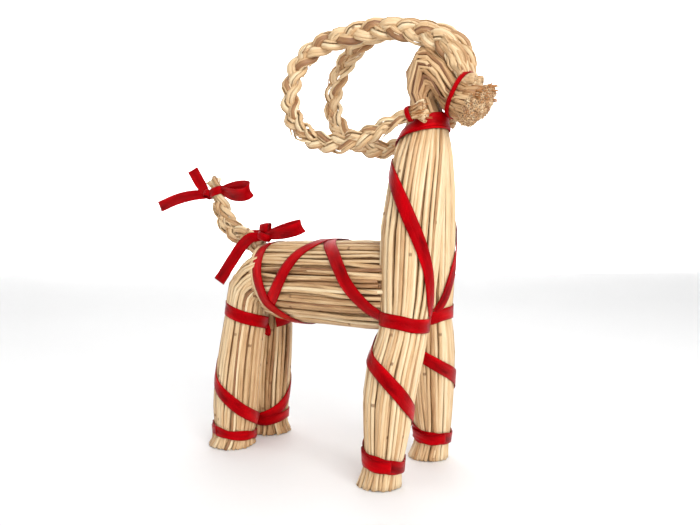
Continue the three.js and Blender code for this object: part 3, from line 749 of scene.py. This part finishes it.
def hoop(piece, centre, axis, wide, thick, width, way, stations=40, puff=0.0, square=2.0, tilt=0.0):
    """A closed band about an axis: its inner outline is a superellipse with half-axes wide along way
    and thick across it, and puff swells its middle line outward."""
    axis = unit(np.asarray(axis, float))
    first = unit(np.asarray(way, float) - axis * np.dot(way, axis))
    second = np.cross(axis, first)
    turn = np.linspace(0, 2 * np.pi, stations, endpoint=False)
    c, s = np.cos(turn), np.sin(turn)
    swell = (np.abs(c) ** square + np.abs(s) ** square) ** (-1 / square)
    q = np.linspace(-1, 1, LINES)
    ring = (swell * c * wide)[:, None] * first + (swell * s * thick)[:, None] * second
    out = unit(ring)
    level = tilt * c[:, None, None] * axis
    top = np.asarray(centre, float) + ring[:, None] + (THICK + puff * (1 - q * q))[None, :, None] * out[:, None]
    top = top + q[None, :, None] * width / 2 * axis + level
    ribbon_section(piece, top[::-1], out[::-1], stretch(top[:, 0]), ring=True)


def free_ribbon(piece, points, across, width, samples=30, pinch=(1.0, 1.0), curl=0.4):
    """A free ribbon along points. Its width lies along across, which may turn on the way; pinch is
    its share of the full width at the two ends, and curl the rise of its middle."""
    at = smooth(points, samples)
    way = unit(np.gradient(at, axis=0))
    share = np.linspace(0, 1, samples)[:, None]
    first, last = (np.asarray(v, float) for v in (across[0], across[-1]))
    wide = first * (1 - share) + last * share
    wide = unit(wide - way * np.sum(wide * way, axis=1, keepdims=True))
    out = unit(np.cross(way, wide))
    narrow = 1 - (1 - pinch[0]) * np.exp(-share * 7) - (1 - pinch[1]) * np.exp(-(1 - share) * 7)
    q = np.linspace(-1, 1, LINES)
    rise = curl * (1 - q * q)[None] + (1 - narrow) * 2.2 * np.cos(q * 5)[None]
    top = at[:, None] + q[None, :, None] * (wide * narrow)[:, None] * width / 2
    top = top + rise[..., None] * out[:, None]
    ribbon_section(piece, top, out, stretch(at))


# Where a loop of ribbon runs: [share of the way to its far end, share of its spread]
LOOP = np.array([
    [0, 0.12], [0.2, 0.5], [0.45, 0.9], [0.75, 1], [0.94, 0.7], [1, 0],
    [0.94, -0.7], [0.75, -1], [0.45, -0.9], [0.2, -0.5], [0, -0.12],
])


def bow_loop(piece, start, end, spread, across, width, samples=44):
    """A loop of ribbon out from a knot and back, opening by spread across its way."""
    start, end, spread = (np.asarray(v, float) for v in (start, end, spread))
    points = start + LOOP[:, :1] * (end - start) + LOOP[:, 1:] * spread
    free_ribbon(piece, points, across, width, samples, pinch=(0.6, 0.6))


# ---- Materials ----


class Value:
    """A shader socket that takes part in Python expressions, each of which adds its Math node."""

    def __init__(self, shader, socket):
        self.shader, self.socket = shader, socket

    def _math(self, operation, *values):
        return self.shader.node("ShaderNodeMath", {"operation": operation}, dict(enumerate(values)))

    def __add__(self, other):
        return self._math("ADD", self, other)

    def __sub__(self, other):
        return self._math("SUBTRACT", self, other)

    def __rsub__(self, other):
        return self._math("SUBTRACT", other, self)

    def __mul__(self, other):
        return self._math("MULTIPLY", self, other)

    def __abs__(self):
        return self._math("ABSOLUTE", self)

    def clamp(self):
        return self.shader.node("ShaderNodeClamp", {}, {0: self})

    def step(self, low, high):
        """0 below low and 1 above high, or the other way round if low is the larger."""
        settings = {"interpolation_type": "SMOOTHSTEP"}
        turned = low > high
        ends = {1: high, 2: low, 3: 1.0, 4: 0.0} if turned else {1: low, 2: high, 3: 0.0, 4: 1.0}
        return self.shader.node("ShaderNodeMapRange", settings, {0: self, **ends})

    __radd__ = __add__
    __rmul__ = __mul__


class Shader:
    """A material in the making."""

    def __init__(self, name):
        self.material = bpy.data.materials.new(name)
        self.material.use_nodes = True
        self.tree = self.material.node_tree
        self.tree.nodes.clear()

    def node(self, kind, settings=None, inputs=None, output=0):
        """Adds a node: its settings first, then the values or links of its sockets."""
        made = self.tree.nodes.new(kind)
        for key, value in (settings or {}).items():
            if key == "stops":
                self._stops(made.color_ramp, value)
            else:
                setattr(made, key, value)
        for key, value in (inputs or {}).items():
            if isinstance(value, Value):
                self.tree.links.new(value.socket, made.inputs[key])
            else:
                made.inputs[key].default_value = value
        return Value(self, made.outputs[output])

    @staticmethod
    def _stops(ramp, stops):
        while len(ramp.elements) < len(stops):
            ramp.elements.new(1.0)
        for element, (place, color) in zip(ramp.elements, stops):
            element.position, element.color = place, (*color, 1)

    def mix(self, factor, a, b):
        """Colour a where the factor is 0 and b where it is 1."""
        a, b = (v if isinstance(v, Value) else (*v, 1) for v in (a, b))
        return self.node("ShaderNodeMix", {"data_type": "RGBA"}, {0: factor, 6: a, 7: b}, 2)

    def noise(self, place, scale, detail=2.0):
        return self.node("ShaderNodeTexNoise", {}, {"Vector": place, "Scale": scale, "Detail": detail})

    def place(self, x, y, z):
        return self.node("ShaderNodeCombineXYZ", {}, {0: x, 1: y, 2: z})

    def parts(self, vector):
        made = self.node("ShaderNodeSeparateXYZ", {}, {0: vector})
        sockets = made.socket.node.outputs
        return [Value(self, sockets[k]) for k in range(3)]

    def attribute(self, name, output="Fac"):
        return self.node("ShaderNodeAttribute", {"attribute_name": name}, {}, output)

    def finish(self, color, roughness, bump, depth, strength=1.0, **constants):
        """Ends in one Principled shader, with constants on its own sockets."""
        normal = self.node("ShaderNodeBump", {}, {"Strength": strength, "Distance": depth, "Height": bump})
        inputs = {"Base Color": color, "Roughness": roughness, "Normal": normal, **constants}
        shader = self.node("ShaderNodeBsdfPrincipled", {}, inputs)
        self.node_output(shader)
        return self.material

    def node_output(self, shader):
        out = self.tree.nodes.new("ShaderNodeOutputMaterial")
        self.tree.links.new(shader.socket, out.inputs["Surface"])


def straw_material(name, stops):
    """Straw: a tone of its own from the ramp, broken by streaks along it and by weathered patches, with a
    dark ring at its knot, painted shade down its bore and an orange tint where it is warm."""
    sh = Shader(name)
    u, v, _ = sh.parts(sh.node("ShaderNodeUVMap", {"uv_map": "lay"}))
    tone, knot, cut = sh.parts(sh.attribute("straw", "Vector"))
    warm = sh.attribute("warm")
    streak = sh.noise(sh.place(u * 7, v * 3, tone * 37), 1.3, 3.0)
    patch = sh.noise(sh.place(u * 1.5, v * 5, tone * 91), 1.0, 2.0)
    speck = sh.noise(sh.place(u * 5, v * 40, tone * 53), 1.6, 2.0).step(0.68, 0.78)
    shade = tone + (streak - 0.5) * 0.5 + (patch - 0.5) * 0.55
    color = sh.node("ShaderNodeValToRGB", {"stops": stops}, {0: shade.clamp()})
    ring = abs(v * 100 - knot).step(1.7, 0.5)
    color = sh.mix(ring * 0.75, color, (0.22, 0.09, 0.028))
    color = sh.mix(speck * 0.35, color, (0.25, 0.11, 0.04))
    color = sh.mix((warm * (streak * 0.9 + 0.45)).clamp(), color, (0.46, 0.17, 0.035))
    # Painted shade: the inside of a straw's bore, and the cap at its bottom, darkened to deep brown.
    color = sh.mix(cut.step(0.6, 0.9) * 0.85, color, (0.12, 0.05, 0.016))
    roughness = 0.42 + streak * 0.2 + warm * 0.15
    bump = streak * 0.6 + ring * 0.7 + speck * -0.25
    return sh.finish(color, roughness, bump, 0.0004, 0.7, **{"Coat Weight": 0.12, "Coat Roughness": 0.35})


def core_material():
    """The shade between straws: dark brown, grained along the bundle."""
    sh = Shader("shade_between_straws")
    u, v, _ = sh.parts(sh.node("ShaderNodeUVMap", {"uv_map": "lay"}))
    grain = sh.noise(sh.place(u * 40, v * 2, 0.0), 2.0, 3.0)
    color = sh.mix(grain, (0.06, 0.022, 0.008), (0.26, 0.11, 0.04))
    return sh.finish(color, grain * 0.1 + 0.85, grain, 0.001)


def satin_material(settings):
    """Satin ribbon: fine threads across, faint creases along, a denser woven edge and a soft sheen; its colour is
    painted light and shade, blended from a shaded and a lit copy of the satin by a slow cloud and the threads.
    """
    sh = Shader("red_satin")
    u, v, _ = sh.parts(sh.node("ShaderNodeUVMap", {"uv_map": "lay"}))
    thread = sh.noise(sh.place(u * 14, v * 260, 0.0), 1.0, 1.0)
    crease = sh.noise(sh.place(u * 5, v * 2.2, 0.3), 1.0, 2.0)
    light_and_shade_cloud = sh.noise(sh.place(u * 1.2, v * 3.5, 7.0), 1.0, 2.0)
    edge = abs(u * 2 - 1).step(0.88, 0.97)
    # Painted light and shade: the ribbon's colour is blended between a shaded and a lit copy of the satin by a slow
    # cloud of noise and by the threads' fine noise.
    deep, lit_satin = tuple(settings.ribbon_painted_shade), tuple(settings.ribbon_painted_light)
    color = sh.mix((light_and_shade_cloud * 2.2 - 0.6 + (thread - 0.5) * 0.4).clamp(), deep, lit_satin)
    color = sh.mix(edge * 0.4, color, deep)
    roughness = 0.3 + thread * 0.12 + edge * 0.1
    bump = thread * 0.25 + crease * 1.0 + edge * 0.3
    return sh.finish(color, roughness, bump, 0.0005, 0.6,
                     **{"Sheen Weight": 0.05, "Sheen Roughness": 0.3, "Sheen Tint": (1, 0.1, 0.1, 1),
                        "Anisotropic": 0.5, "Specular IOR Level": 0.32, "Specular Tint": (1, 0.08, 0.1, 1)})


def floor_material(settings):
    """A plain pale floor with the faintest mottle."""
    sh = Shader("pale_floor")
    spot = sh.node("ShaderNodeTexCoord", {}, {}, "Object")
    mottle = sh.noise(spot, 3.0, 2.0)
    pale = tuple(settings.floor_color)
    color = sh.mix(mottle, pale, tuple(0.985 * c for c in pale))
    return sh.finish(color, mottle * 0.05 + 0.7, mottle, 0.0001)


STRAW_STOPS = [
    (0.0, (0.17, 0.062, 0.02)),
    (0.22, (0.37, 0.185, 0.075)),
    (0.45, (0.55, 0.325, 0.15)),
    (0.68, (0.71, 0.48, 0.255)),
    (1.0, (0.85, 0.67, 0.42)),
]
_made = {}


def finish_of(name):
    """Each material is made once."""
    settings = bpy.context.scene.straw_goat
    makers = {
        "straw": lambda: straw_material("rye_straw", STRAW_STOPS),
        "core": core_material,
        "satin": lambda: satin_material(settings),
        "floor": lambda: floor_material(settings),
    }
    if name not in _made:
        _made[name] = makers[name]()
    return _made[name]


# ---- Settings ----


class StrawGoatSettings(bpy.types.PropertyGroup):
    """What a user would change."""

    straw_width: bpy.props.FloatProperty(
        name="Straw width", description="Mean width of a straw", default=2.9 * MM, min=2 * MM, max=4 * MM,
        unit="LENGTH", precision=4)
    ribbon_width: bpy.props.FloatProperty(
        name="Ribbon width", description="Width of the satin ribbon", default=10 * MM, min=6 * MM, max=14 * MM,
        unit="LENGTH", precision=4)
    straw_tone: bpy.props.FloatProperty(
        name="Straw tone", description="0 for brown, weathered straw and 1 for pale straw", default=0.62,
        min=0, max=1, subtype="FACTOR")
    # Painted shade and painted light: the satin's colour in shade and where light falls on it.
    ribbon_painted_shade: bpy.props.FloatVectorProperty(
        name="Ribbon shade", description="Satin in its folds", default=(0.15, 0.0, 0.001), size=3, min=0, max=1,
        subtype="COLOR")
    ribbon_painted_light: bpy.props.FloatVectorProperty(
        name="Ribbon light", description="Satin where it catches light", default=(0.55, 0.0, 0.003), size=3,
        min=0, max=1, subtype="COLOR")
    floor_color: bpy.props.FloatVectorProperty(
        name="Floor", description="Colour of the floor", default=(0.92, 0.92, 0.92), size=3, min=0, max=1,
        subtype="COLOR")
    key_light: bpy.props.FloatProperty(
        name="Key light", description="Power of the large light at the goat's front", default=11, min=0,
        unit="POWER")


def settings_of(context):
    return context.scene.straw_goat


# ---- Operators ----

FRONT_STATIONS = (0, 4, 9, 16, 26, 42, 62, 84, 102, 115, 130, 152, 182, 212, 235, 256)
HIND_STATIONS = (0, 4, 9, 17, 30, 48, 70, 92, 110, 124, 142, 157, 168, 178)
BODY_STATIONS = (-52, -44, -34, -18, 0, 20, 42, 60, 80)
HEAD_STATIONS = (0.2, 1, 2.1, 3.0, 4.3, 5.6, 6.6, 8.2, 10.3, 11.5, 13)


class GOAT_OT_front_bundle(bpy.types.Operator):
    """The doubled bundle: forelegs, neck and head."""

    bl_idname = "straw_goat.front_bundle"
    bl_label = "Front bundle"

    def execute(self, context):
        settings = settings_of(context)
        rng = np.random.default_rng(11)
        half, tone = settings.straw_width / MM / 2, settings.straw_tone
        piece = Piece("front_straws")
        for side in (-1, 1):
            table = leg_sections(FRONT, side)
            core(piece, table, 4.2)
            inner = FRONT_STATIONS[::2] + (256,)
            # The inner layer is darker in tone than the outer one: painted shade in the gaps between the outer
            # straws.
            layer(piece, rng, table, inner, 40, 2.2, half, tone - 0.2, sides=5, knotted=0.2)
            layer(piece, rng, table, FRONT_STATIONS, 48, 0.0, half, tone)
            foot = np.array([FRONT[0, 1], side * FRONT[0, 2], 0.0])
            r = FRONT[0, 3] - 2.5
            stubs(piece, rng, foot + np.array([0, 0, 1.2]), np.array([0.0, 0, -1]), np.array([r, 0, 0]),
                  np.array([0, r, 0]), half * 2, 0.0, 16, half * 0.9, tone - 0.1, flare=0.15)
        self.head(piece, rng, half, tone)
        piece.make([finish_of("straw"), finish_of("core")], "straw", "front_bundle")
        return {"FINISHED"}

    def head(self, piece, rng, half, tone):
        """The fold of the head and the muzzle with its cut and frayed end."""
        table = head_sections()
        core(piece, table[:-1], 4.5)
        inner = (0.4, 1.5, 3.0, 4.6, 6.6, 8.6, 10.6, 12.8)
        # The inner layer is darker in tone than the outer one: painted shade in the gaps between the outer straws.
        layer(piece, rng, table, inner, 36, 3.0, half, tone - 0.42, wander=1.2, hollow=(False, True),
              sides=5, ends=(0.1, 0.4), knotted=0.3)
        layer(piece, rng, table, HEAD_STATIONS, 46, 0.2, half * 1.05, tone - 0.2, wander=1.6,
              hollow=(False, True), ends=(0.1, 0.25), knotted=0.3, straighten=self.crease)
        stubs(piece, rng, np.array([104.0, 0, 263]), np.array([0.64, 0, 0.77]), np.array([3.9, 0, -3.2]),
              np.array([0, 10.0, 0]), half * 1.8, 0.5, 10, half * 0.9, tone - 0.2, flare=0.1)
        self.face(piece, rng, table, half, tone)

    @staticmethod
    def crease(paths, angle):
        """Straws kink where they fold: between the kinks at the two sides of the fold, the middle
        station is drawn towards the straight line, but not on the outermost straws."""
        share = np.clip((0.9 + np.cos(angle[:, 4])) * 1.6, 0, 1)[:, None]
        middle = (paths[:, 3] + paths[:, 5]) / 2
        paths[:, 4] += share * (middle - paths[:, 4])
        return paths

    @staticmethod
    def face(piece, rng, table, half, tone):
        """The muzzle's end, filled with cut straws and frayed at its top."""
        centre, first, second = (table[-1, k : k + 3] for k in (1, 4, 7))
        stubs(piece, rng, centre - 0.5 * MUZZLE_WAY, MUZZLE_WAY, first, second, half * 1.85, 2.2, 10, half * 0.86,
              tone + 0.05, warm=0.25, flare=0.35)
        count = 360
        angle, far = rng.uniform(0, 2 * np.pi, count), np.sqrt(rng.uniform(0, 1, count))
        start = centre + (far * np.cos(angle))[:, None] * first + (far * np.sin(angle))[:, None] * second
        high = np.clip(-np.cos(angle) * far, 0, 1)
        start = start - MUZZLE_WAY * rng.uniform(1.5, 3.5, (count, 1))
        out = (start - centre) / 20
        top = high > 0.3
        splinters(piece, rng, start[~top], MUZZLE_WAY + out[~top] * 0.7, 2.6, 0.6, tone + 0.2, 0.1, 0.2)
        splinters(piece, rng, start[top], MUZZLE_WAY + out[top] * 0.8, 5, 0.75, tone, 0.8, 0.22)


class GOAT_OT_rear_bundle(bpy.types.Operator):
    """The bundle of the body, bent down over the rump into the hind legs."""

    bl_idname = "straw_goat.rear_bundle"
    bl_label = "Rear bundle"

    def execute(self, context):
        settings = settings_of(context)
        rng = np.random.default_rng(23)
        half, tone = settings.straw_width / MM / 2, settings.straw_tone
        piece = Piece("rear_straws")
        body = body_sections()
        core(piece, body, 4.5)
        # The inner layer is darker in tone than the outer one: painted shade in the gaps between the outer straws.
        layer(piece, rng, body, BODY_STATIONS[::2], 64, 2.3, half, tone - 0.26, wander=1.0, sides=5, knotted=0.2,
              hollow=(False, False), ends=(1, 3))
        layer(piece, rng, body, BODY_STATIONS, 74, 0.0, half, tone, wander=1.5, hollow=(False, True), ends=(2, 9))
        for side in (-1, 1):
            table = hind_sections(side)
            core(piece, table, 4.4)
            # The inner layer is darker in tone than the outer one: painted shade in the gaps between the outer
            # straws.
            layer(piece, rng, table, HIND_STATIONS[::2], 42, 2.3, half, tone - 0.26, wander=1.2, sides=5, knotted=0.2)
            layer(piece, rng, table, HIND_STATIONS, 46, 0.0, half, tone - 0.06, wander=1.4)
            foot = np.array([HIND[0, 1], side * HIND[0, 2], 1.2])
            r = HIND[0, 3] - 2.5
            stubs(piece, rng, foot, np.array([0.0, 0, -1]), np.array([r, 0, 0]), np.array([0, r, 0]), half * 2, 0.0,
                  16, half * 0.9, tone - 0.1, flare=0.15)
        self.lip(piece, rng, half, tone)
        stubs(piece, rng, np.array([-56.0, 0, 161]), np.array([-0.6, 0, 0.8]), np.array([7.2, 0, 5.4]),
              np.array([0, 11.0, 0]), half * 1.9, 1.5, 14, half * 0.9, tone - 0.12, flare=0.2)
        piece.make([finish_of("straw"), finish_of("core")], "straw", "rear_bundle")
        return {"FINISHED"}

    @staticmethod
    def lip(piece, rng, half, tone):
        """A few straws that run down beside the rump band, over the ends of the body's own, paler in tone for a
        painted highlight along the lip.
        """
        turn = np.linspace(28, 124, 12)
        for side in (-1, 1):
            for k, behind in enumerate((7.2, 9.6)):
                x = np.interp(turn, [35, 73, 100, 119], [-47.0, -42, -36, -32]) - behind
                paths = body_surface(x, side * turn, np.full(12, 0.2 - 1.3 * k))[None]
                outward = unit(paths - np.stack([x, 0 * x, BODY_Z + 0 * x], -1)[None])
                straws(piece, paths, outward, half * 0.8, half * 0.7, np.array([tone + 0.15]), 6)


class GOAT_OT_horns(bpy.types.Operator):
    """Two long braids curled back over the neck."""

    bl_idname = "straw_goat.horns"
    bl_label = "Horns"

    def execute(self, context):
        settings = settings_of(context)
        for seed, (side, points) in enumerate(HORNS.items()):
            rng = np.random.default_rng(31 + seed)
            piece = Piece(f"horn_straws_{side}")
            course = braid(piece, rng, points, HORN_SIZES, settings.straw_tone + 0.06)
            self.root(piece, rng, course, settings.straw_tone)
            self.tip(piece, rng, course, settings.straw_tone)
            piece.make([finish_of("straw")], "straw_braid", f"horn_{side}")
        return {"FINISHED"}

    @staticmethod
    def root(piece, rng, course, tone):
        """Flat straws that lie over the root, from the muzzle's end up to the first crossing."""
        count = 15
        last = int(0.13 * course.count)
        s = np.arange(last)
        spread = np.interp(s / last, [0, 0.25, 0.6, 1], [3.6, 3.4, 6.6, 3.0])
        q = np.linspace(-1, 1, count)[:, None] + rng.uniform(-0.08, 0.08, (count, 1))
        lean = rng.uniform(-0.25, 0.25, (count, 1)) * (s / last)[None]
        side = np.where(np.arange(count) % 3 == 0, -1, 1)[:, None]
        offset = (q + lean) * spread[None]
        proud = side * np.sqrt(np.clip(1 - (q + lean) ** 2, 0.05, 1)) * np.interp(s / last, [0, 0.3, 0.7, 1], [2.4, 2.8, 5.0, 4.6])
        at = course.at[:last]
        paths = at[None] + offset[..., None] * course.wide[None, :last] + proud[..., None] * course.flat[None, :last]
        outward = np.repeat((side * np.ones((1, last)))[..., None], 3, axis=2) * course.flat[None, :last]
        half = rng.uniform(1.0, 1.7, (count, 1))
        straws(piece, paths, outward, half, half * 0.4, np.clip(rng.normal(tone + 0.12, 0.15, count), 0, 1), 6,
               (True, True), warm=0.0)

    @staticmethod
    def tip(piece, rng, course, tone):
        """The frayed tuft beyond the tie."""
        count = 60
        i = int(HORN_TIE * (course.count - 1))
        q = rng.uniform(-1, 1, (count, 2))
        start = course.at[i] + q[:, :1] * 2.8 * course.wide[i] + q[:, 1:] * 2.4 * course.flat[i]
        way = course.tangent[i] + 0.28 * q[:, :1] * course.wide[i] + 0.2 * q[:, 1:] * course.flat[i]
        splinters(piece, rng, start, way, 15, 0.8, tone, 0.8, 0.06)


class GOAT_OT_tail(bpy.types.Operator):
    """The upright braided tail."""

    bl_idname = "straw_goat.tail"
    bl_label = "Tail"

    def execute(self, context):
        settings = settings_of(context)
        rng = np.random.default_rng(41)
        piece = Piece("tail_straws")
        braid(piece, rng, TAIL, TAIL_SIZES, settings.straw_tone + 0.1)
        piece.make([finish_of("straw")], "straw_braid", "tail")
        return {"FINISHED"}


class GOAT_OT_ribbons(bpy.types.Operator):
    """The ribbons wound on the legs, waist, hips, body, chest, throat, muzzle and horn tips."""

    bl_idname = "straw_goat.ribbons"
    bl_label = "Wound ribbons"

    def execute(self, context):
        width = settings_of(context).ribbon_width / MM
        for seed, (node, (rows, side, wide, foot, spiral)) in enumerate(LEG_WINDINGS.items()):
            piece = Piece(f"{node}_satin")
            course = leg_course(spiral, foot)
            drawn_in = np.array([len(spiral) - 1, len(spiral) + 2]) / (len(course) - 1)
            widths = (drawn_in, np.array([1, wide / 10]) * width)
            wound(piece, leg_surface(rows, side), course, widths, ripple=0.2, seed=seed)
            self.make(piece, node)
        wraps = {
            "waist_ribbon": (pair_surface(FRONT, -60, 1), WAIST),
            "hip_ribbon": (pair_surface(HIND, 180, -1), HIP),
            "body_ribbon_right": (body_surface, lacing(-1, LIFT)),
            "body_ribbon_left": (body_surface, lacing(1, OVER)),
            "chest_ribbon": (neck_surface, CHEST),
        }
        for seed, (node, (surface, course)) in enumerate(wraps.items()):
            piece = Piece(f"{node}_satin")
            wound(piece, surface, course, width, ripple=0.1, seed=20 + seed)
            if node == "hip_ribbon":
                free_ribbon(piece, HIP_END, [(0.7, 0.3, 0.5)], width * 0.8, pinch=(1, 0.15))
            self.make(piece, node)
        self.throat(width)
        self.muzzle()
        self.horn_ties()
        return {"FINISHED"}

    @staticmethod
    def make(piece, node):
        piece.make([finish_of("satin")], "ribbon", node)

    def throat(self, width):
        """Two turns, highest under the chin and lowest at the nape, the second a little askew."""
        piece = Piece("throat_ribbon_satin")
        turn = np.linspace(0, 360, 25)
        for askew, lift in ((0.0, 0.3), (3.2, 0.8)):
            z = 252 + (5 + askew * 0.3) * np.cos(np.radians(turn)) - 0.7 * np.cos(np.radians(2 * turn))
            z = z + askew * np.cos(np.radians(turn + 40)) * 0.5
            wound(piece, neck_surface, np.stack([z, turn, 0 * turn + lift], 1), width * 0.94, samples=4, ring=True,
                  ripple=0.1)
        self.make(piece, "throat_ribbon")

    def muzzle(self):
        """The narrow tie over the roots of the horns."""
        piece = Piece("muzzle_ribbon_satin")
        under, top, half = -7.0, 26.4, 14.0
        hoop(piece, muzzle_point(TIE_AT, (under + top) / 2), MUZZLE_WAY, (top - under) / 2, half, 3.4, MUZZLE_UP,
             puff=0.5, square=2.5)
        self.make(piece, "muzzle_ribbon")

    def horn_ties(self):
        for side, points in HORNS.items():
            piece = Piece(f"horn_tie_{side}_satin")
            course = Course(points, 1.0)
            i = int(HORN_TIE * (course.count - 1))
            hoop(piece, course.at[i], course.tangent[i], 5.0, 4.4, 3.4, course.wide[i], 24, 0.3)
            self.make(piece, f"horn_tie_{side}")


class GOAT_OT_bows(bpy.types.Operator):
    """The rump band with its bow, and the bow near the tip of the tail."""

    bl_idname = "straw_goat.bows"
    bl_label = "Bows"

    def execute(self, context):
        width = settings_of(context).ribbon_width / MM
        piece = Piece("rump_ribbon_satin")
        wound(piece, body_surface, RUMP_BAND, width, ring=True, ripple=0.08, seed=5)
        bow_loop(piece, (-54.5, -7, 176), (-54, -6, 186), (0, 2.4, 0), [(1, 0, 0.1)], width)
        bow_loop(piece, (-52, -7, 176), (-17.5, -4, 183), (0.8, 3.2, 2.2), [(-0.35, -0.2, 0.92)], width * 1.05)
        free_ribbon(piece, [(-55.5, -9, 174.5), (-64, -13, 174), (-73.5, -13.5, 167.5), (-84, -14.5, 155),
                            (-99.5, -15, 136)], [(0, 0.2, -0.98), (0.62, 0.36, -0.62)], width, pinch=(0.6, 1))
        free_ribbon(piece, [(-54.5, -4, 176.4), (-58, 3, 177), (-68, 10, 177), (-96, 12, 176.5), (-113, 12, 184)],
                    [(0.9, 0.4, 0.2), (0, 0.1, 1)], width, pinch=(0.6, 1))
        hoop(piece, (-54.5, -7, 174.9), (0.35, 0.1, 1), 5.2, 4.6, 6.4, (1, 0, 0), 32, 0.9)
        piece.make([finish_of("satin")], "ribbon", "rump_ribbon")
        self.tail_bow(width)
        return {"FINISHED"}

    @staticmethod
    def tail_bow(width):
        piece = Piece("tail_ribbon_satin")
        course = Course(TAIL, 1.0)
        i = int(TAIL_TIE * (course.count - 1))
        hoop(piece, course.at[i], course.tangent[i], 7.0, 6.0, 7.5, course.wide[i], 36, 0.5)
        hoop(piece, (-123.8, -2.4, 212.4), (0.1, 0.6, 1), 3.2, 3.6, 6.5, (1, 0, 0), 28, 0.9)
        free_ribbon(piece, [(-123.4, -3, 211.8), (-134, -7, 212), (-154, -10, 209), (-177, -12, 202)],
                    [(-0.35, 0, 0.93), (-0.3, -0.2, 0.9)], width, pinch=(0.6, 1))
        free_ribbon(piece, [(-125.5, -4, 214.5), (-133, -3.5, 222.5), (-144, -2, 235.5)], [(0.76, 0.5, 0.41)], width,
                    pinch=(0.6, 1))
        bow_loop(piece, (-107.2, -2, 215.5), (-74.5, -3, 213.8), (0.6, 3, 3.8), [(-0.1, -0.15, 0.98)], width * 1.15)
        piece.make([finish_of("satin")], "ribbon", "tail_ribbon")


# The camera's place in the goat's own millimetres, and where it looks: degrees round and down
CAMERA_AT = (327.9, -454.1, 178.0)
CAMERA_ROUND, CAMERA_DOWN, CAMERA_LENS = 33.55, 2.44, 35.8


class GOAT_OT_stage(bpy.types.Operator):
    """Floor, backdrop, lights and camera."""

    bl_idname = "straw_goat.stage"
    bl_label = "Stage"

    def execute(self, context):
        settings = settings_of(context)
        self.floor(settings)
        self.light("key", (0.95, -0.6, 0.7), 0.8, settings.key_light)
        self.light("fill", (-0.7, -0.8, 0.5), 1.2, settings.key_light * 0.06)
        self.light("top", (0.0, 0.25, 1.1), 1.2, settings.key_light * 0.35)
        self.light("backdrop", (-1.6, 1.9, 1.2), 2.5, settings.key_light * 14, (-2.6, 3.4, 1.2))
        world = bpy.data.worlds.new("pale_room")
        world.use_nodes = True
        background = world.node_tree.nodes["Background"]
        background.inputs["Color"].default_value = (1, 1, 1, 1)
        background.inputs["Strength"].default_value = 0.5
        context.scene.world = world
        context.scene.view_settings.view_transform = "Standard"
        camera = bpy.data.objects.new("camera", bpy.data.cameras.new("camera"))
        camera.data.lens = CAMERA_LENS
        camera.data.clip_start = 0.01
        camera.location = (np.array(CAMERA_AT) + ORIGIN) * MM
        camera.rotation_euler = (math.radians(90 - CAMERA_DOWN), 0, math.radians(CAMERA_ROUND))
        context.scene.collection.objects.link(camera)
        context.scene.camera = camera
        return {"FINISHED"}

    @staticmethod
    def floor(settings):
        """A round floor that curves up into a wall all round: height rises as a quarter circle."""
        ring = np.linspace(0, 2 * np.pi, 64, endpoint=False)
        bend = np.linspace(0, np.pi / 2, 12)
        flat, curve, wall = 3.0, 1.5, 3.0
        radius = np.concatenate([[0.2, 1.0], flat + curve * np.sin(bend), [flat + curve]])
        height = np.concatenate([[0, 0], curve * (1 - np.cos(bend)), [curve + wall]])
        points = np.stack([radius[:, None] * np.cos(ring), radius[:, None] * np.sin(ring),
                           height[:, None] + 0 * ring], -1).reshape(-1, 3)
        index = np.arange(len(points)).reshape(len(radius), 64)
        beside = np.roll(index, -1, axis=1)
        quads = np.stack([index[:-1], beside[:-1], beside[1:], index[1:]], -1).reshape(-1, 4)[:, ::-1]
        mesh = bpy.data.meshes.new("floor")
        mesh.from_pydata(points.tolist(), [], quads.tolist() + [index[0].tolist()])
        mesh.polygons.foreach_set("use_smooth", np.ones(len(mesh.polygons), bool))
        mesh.materials.append(finish_of("floor"))
        floor = bpy.data.objects.new("floor", mesh)
        bpy.context.scene.collection.objects.link(floor)

    @staticmethod
    def light(name, place, size, power, aim=(0, 0, 0.15)):
        lamp = bpy.data.lights.new(name, "AREA")
        lamp.size, lamp.energy = size, power
        lit = bpy.data.objects.new(name, lamp)
        lit.location = place
        x, y, z = (a - b for a, b in zip(place, aim))
        flat = math.hypot(x, y)
        lit.rotation_euler = (math.atan2(flat, z), 0, math.atan2(x, -y))
        bpy.context.scene.collection.objects.link(lit)


class GOAT_PT_panel(bpy.types.Panel):
    """The goat's settings and its steps."""

    bl_idname = "GOAT_PT_panel"
    bl_label = "Straw Goat"
    bl_space_type = "VIEW_3D"
    bl_region_type = "UI"
    bl_category = "Straw Goat"

    def draw(self, context):
        settings = settings_of(context)
        for name in StrawGoatSettings.__annotations__:
            self.layout.prop(settings, name)
        for step in STEPS:
            self.layout.operator(step.bl_idname)


STEPS = (
    GOAT_OT_stage,
    GOAT_OT_front_bundle,
    GOAT_OT_rear_bundle,
    GOAT_OT_horns,
    GOAT_OT_tail,
    GOAT_OT_ribbons,
    GOAT_OT_bows,
)
CLASSES = (StrawGoatSettings, *STEPS, GOAT_PT_panel)


def register():
    for cls in CLASSES:
        bpy.utils.register_class(cls)
    bpy.types.Scene.straw_goat = bpy.props.PointerProperty(type=StrawGoatSettings)


def unregister():
    del bpy.types.Scene.straw_goat
    for cls in reversed(CLASSES):
        bpy.utils.unregister_class(cls)


def main():
    register()
    for step in STEPS:
        group, name = step.bl_idname.split(".")
        getattr(getattr(bpy.ops, group), name)()


if __name__ == "__main__":
    main()
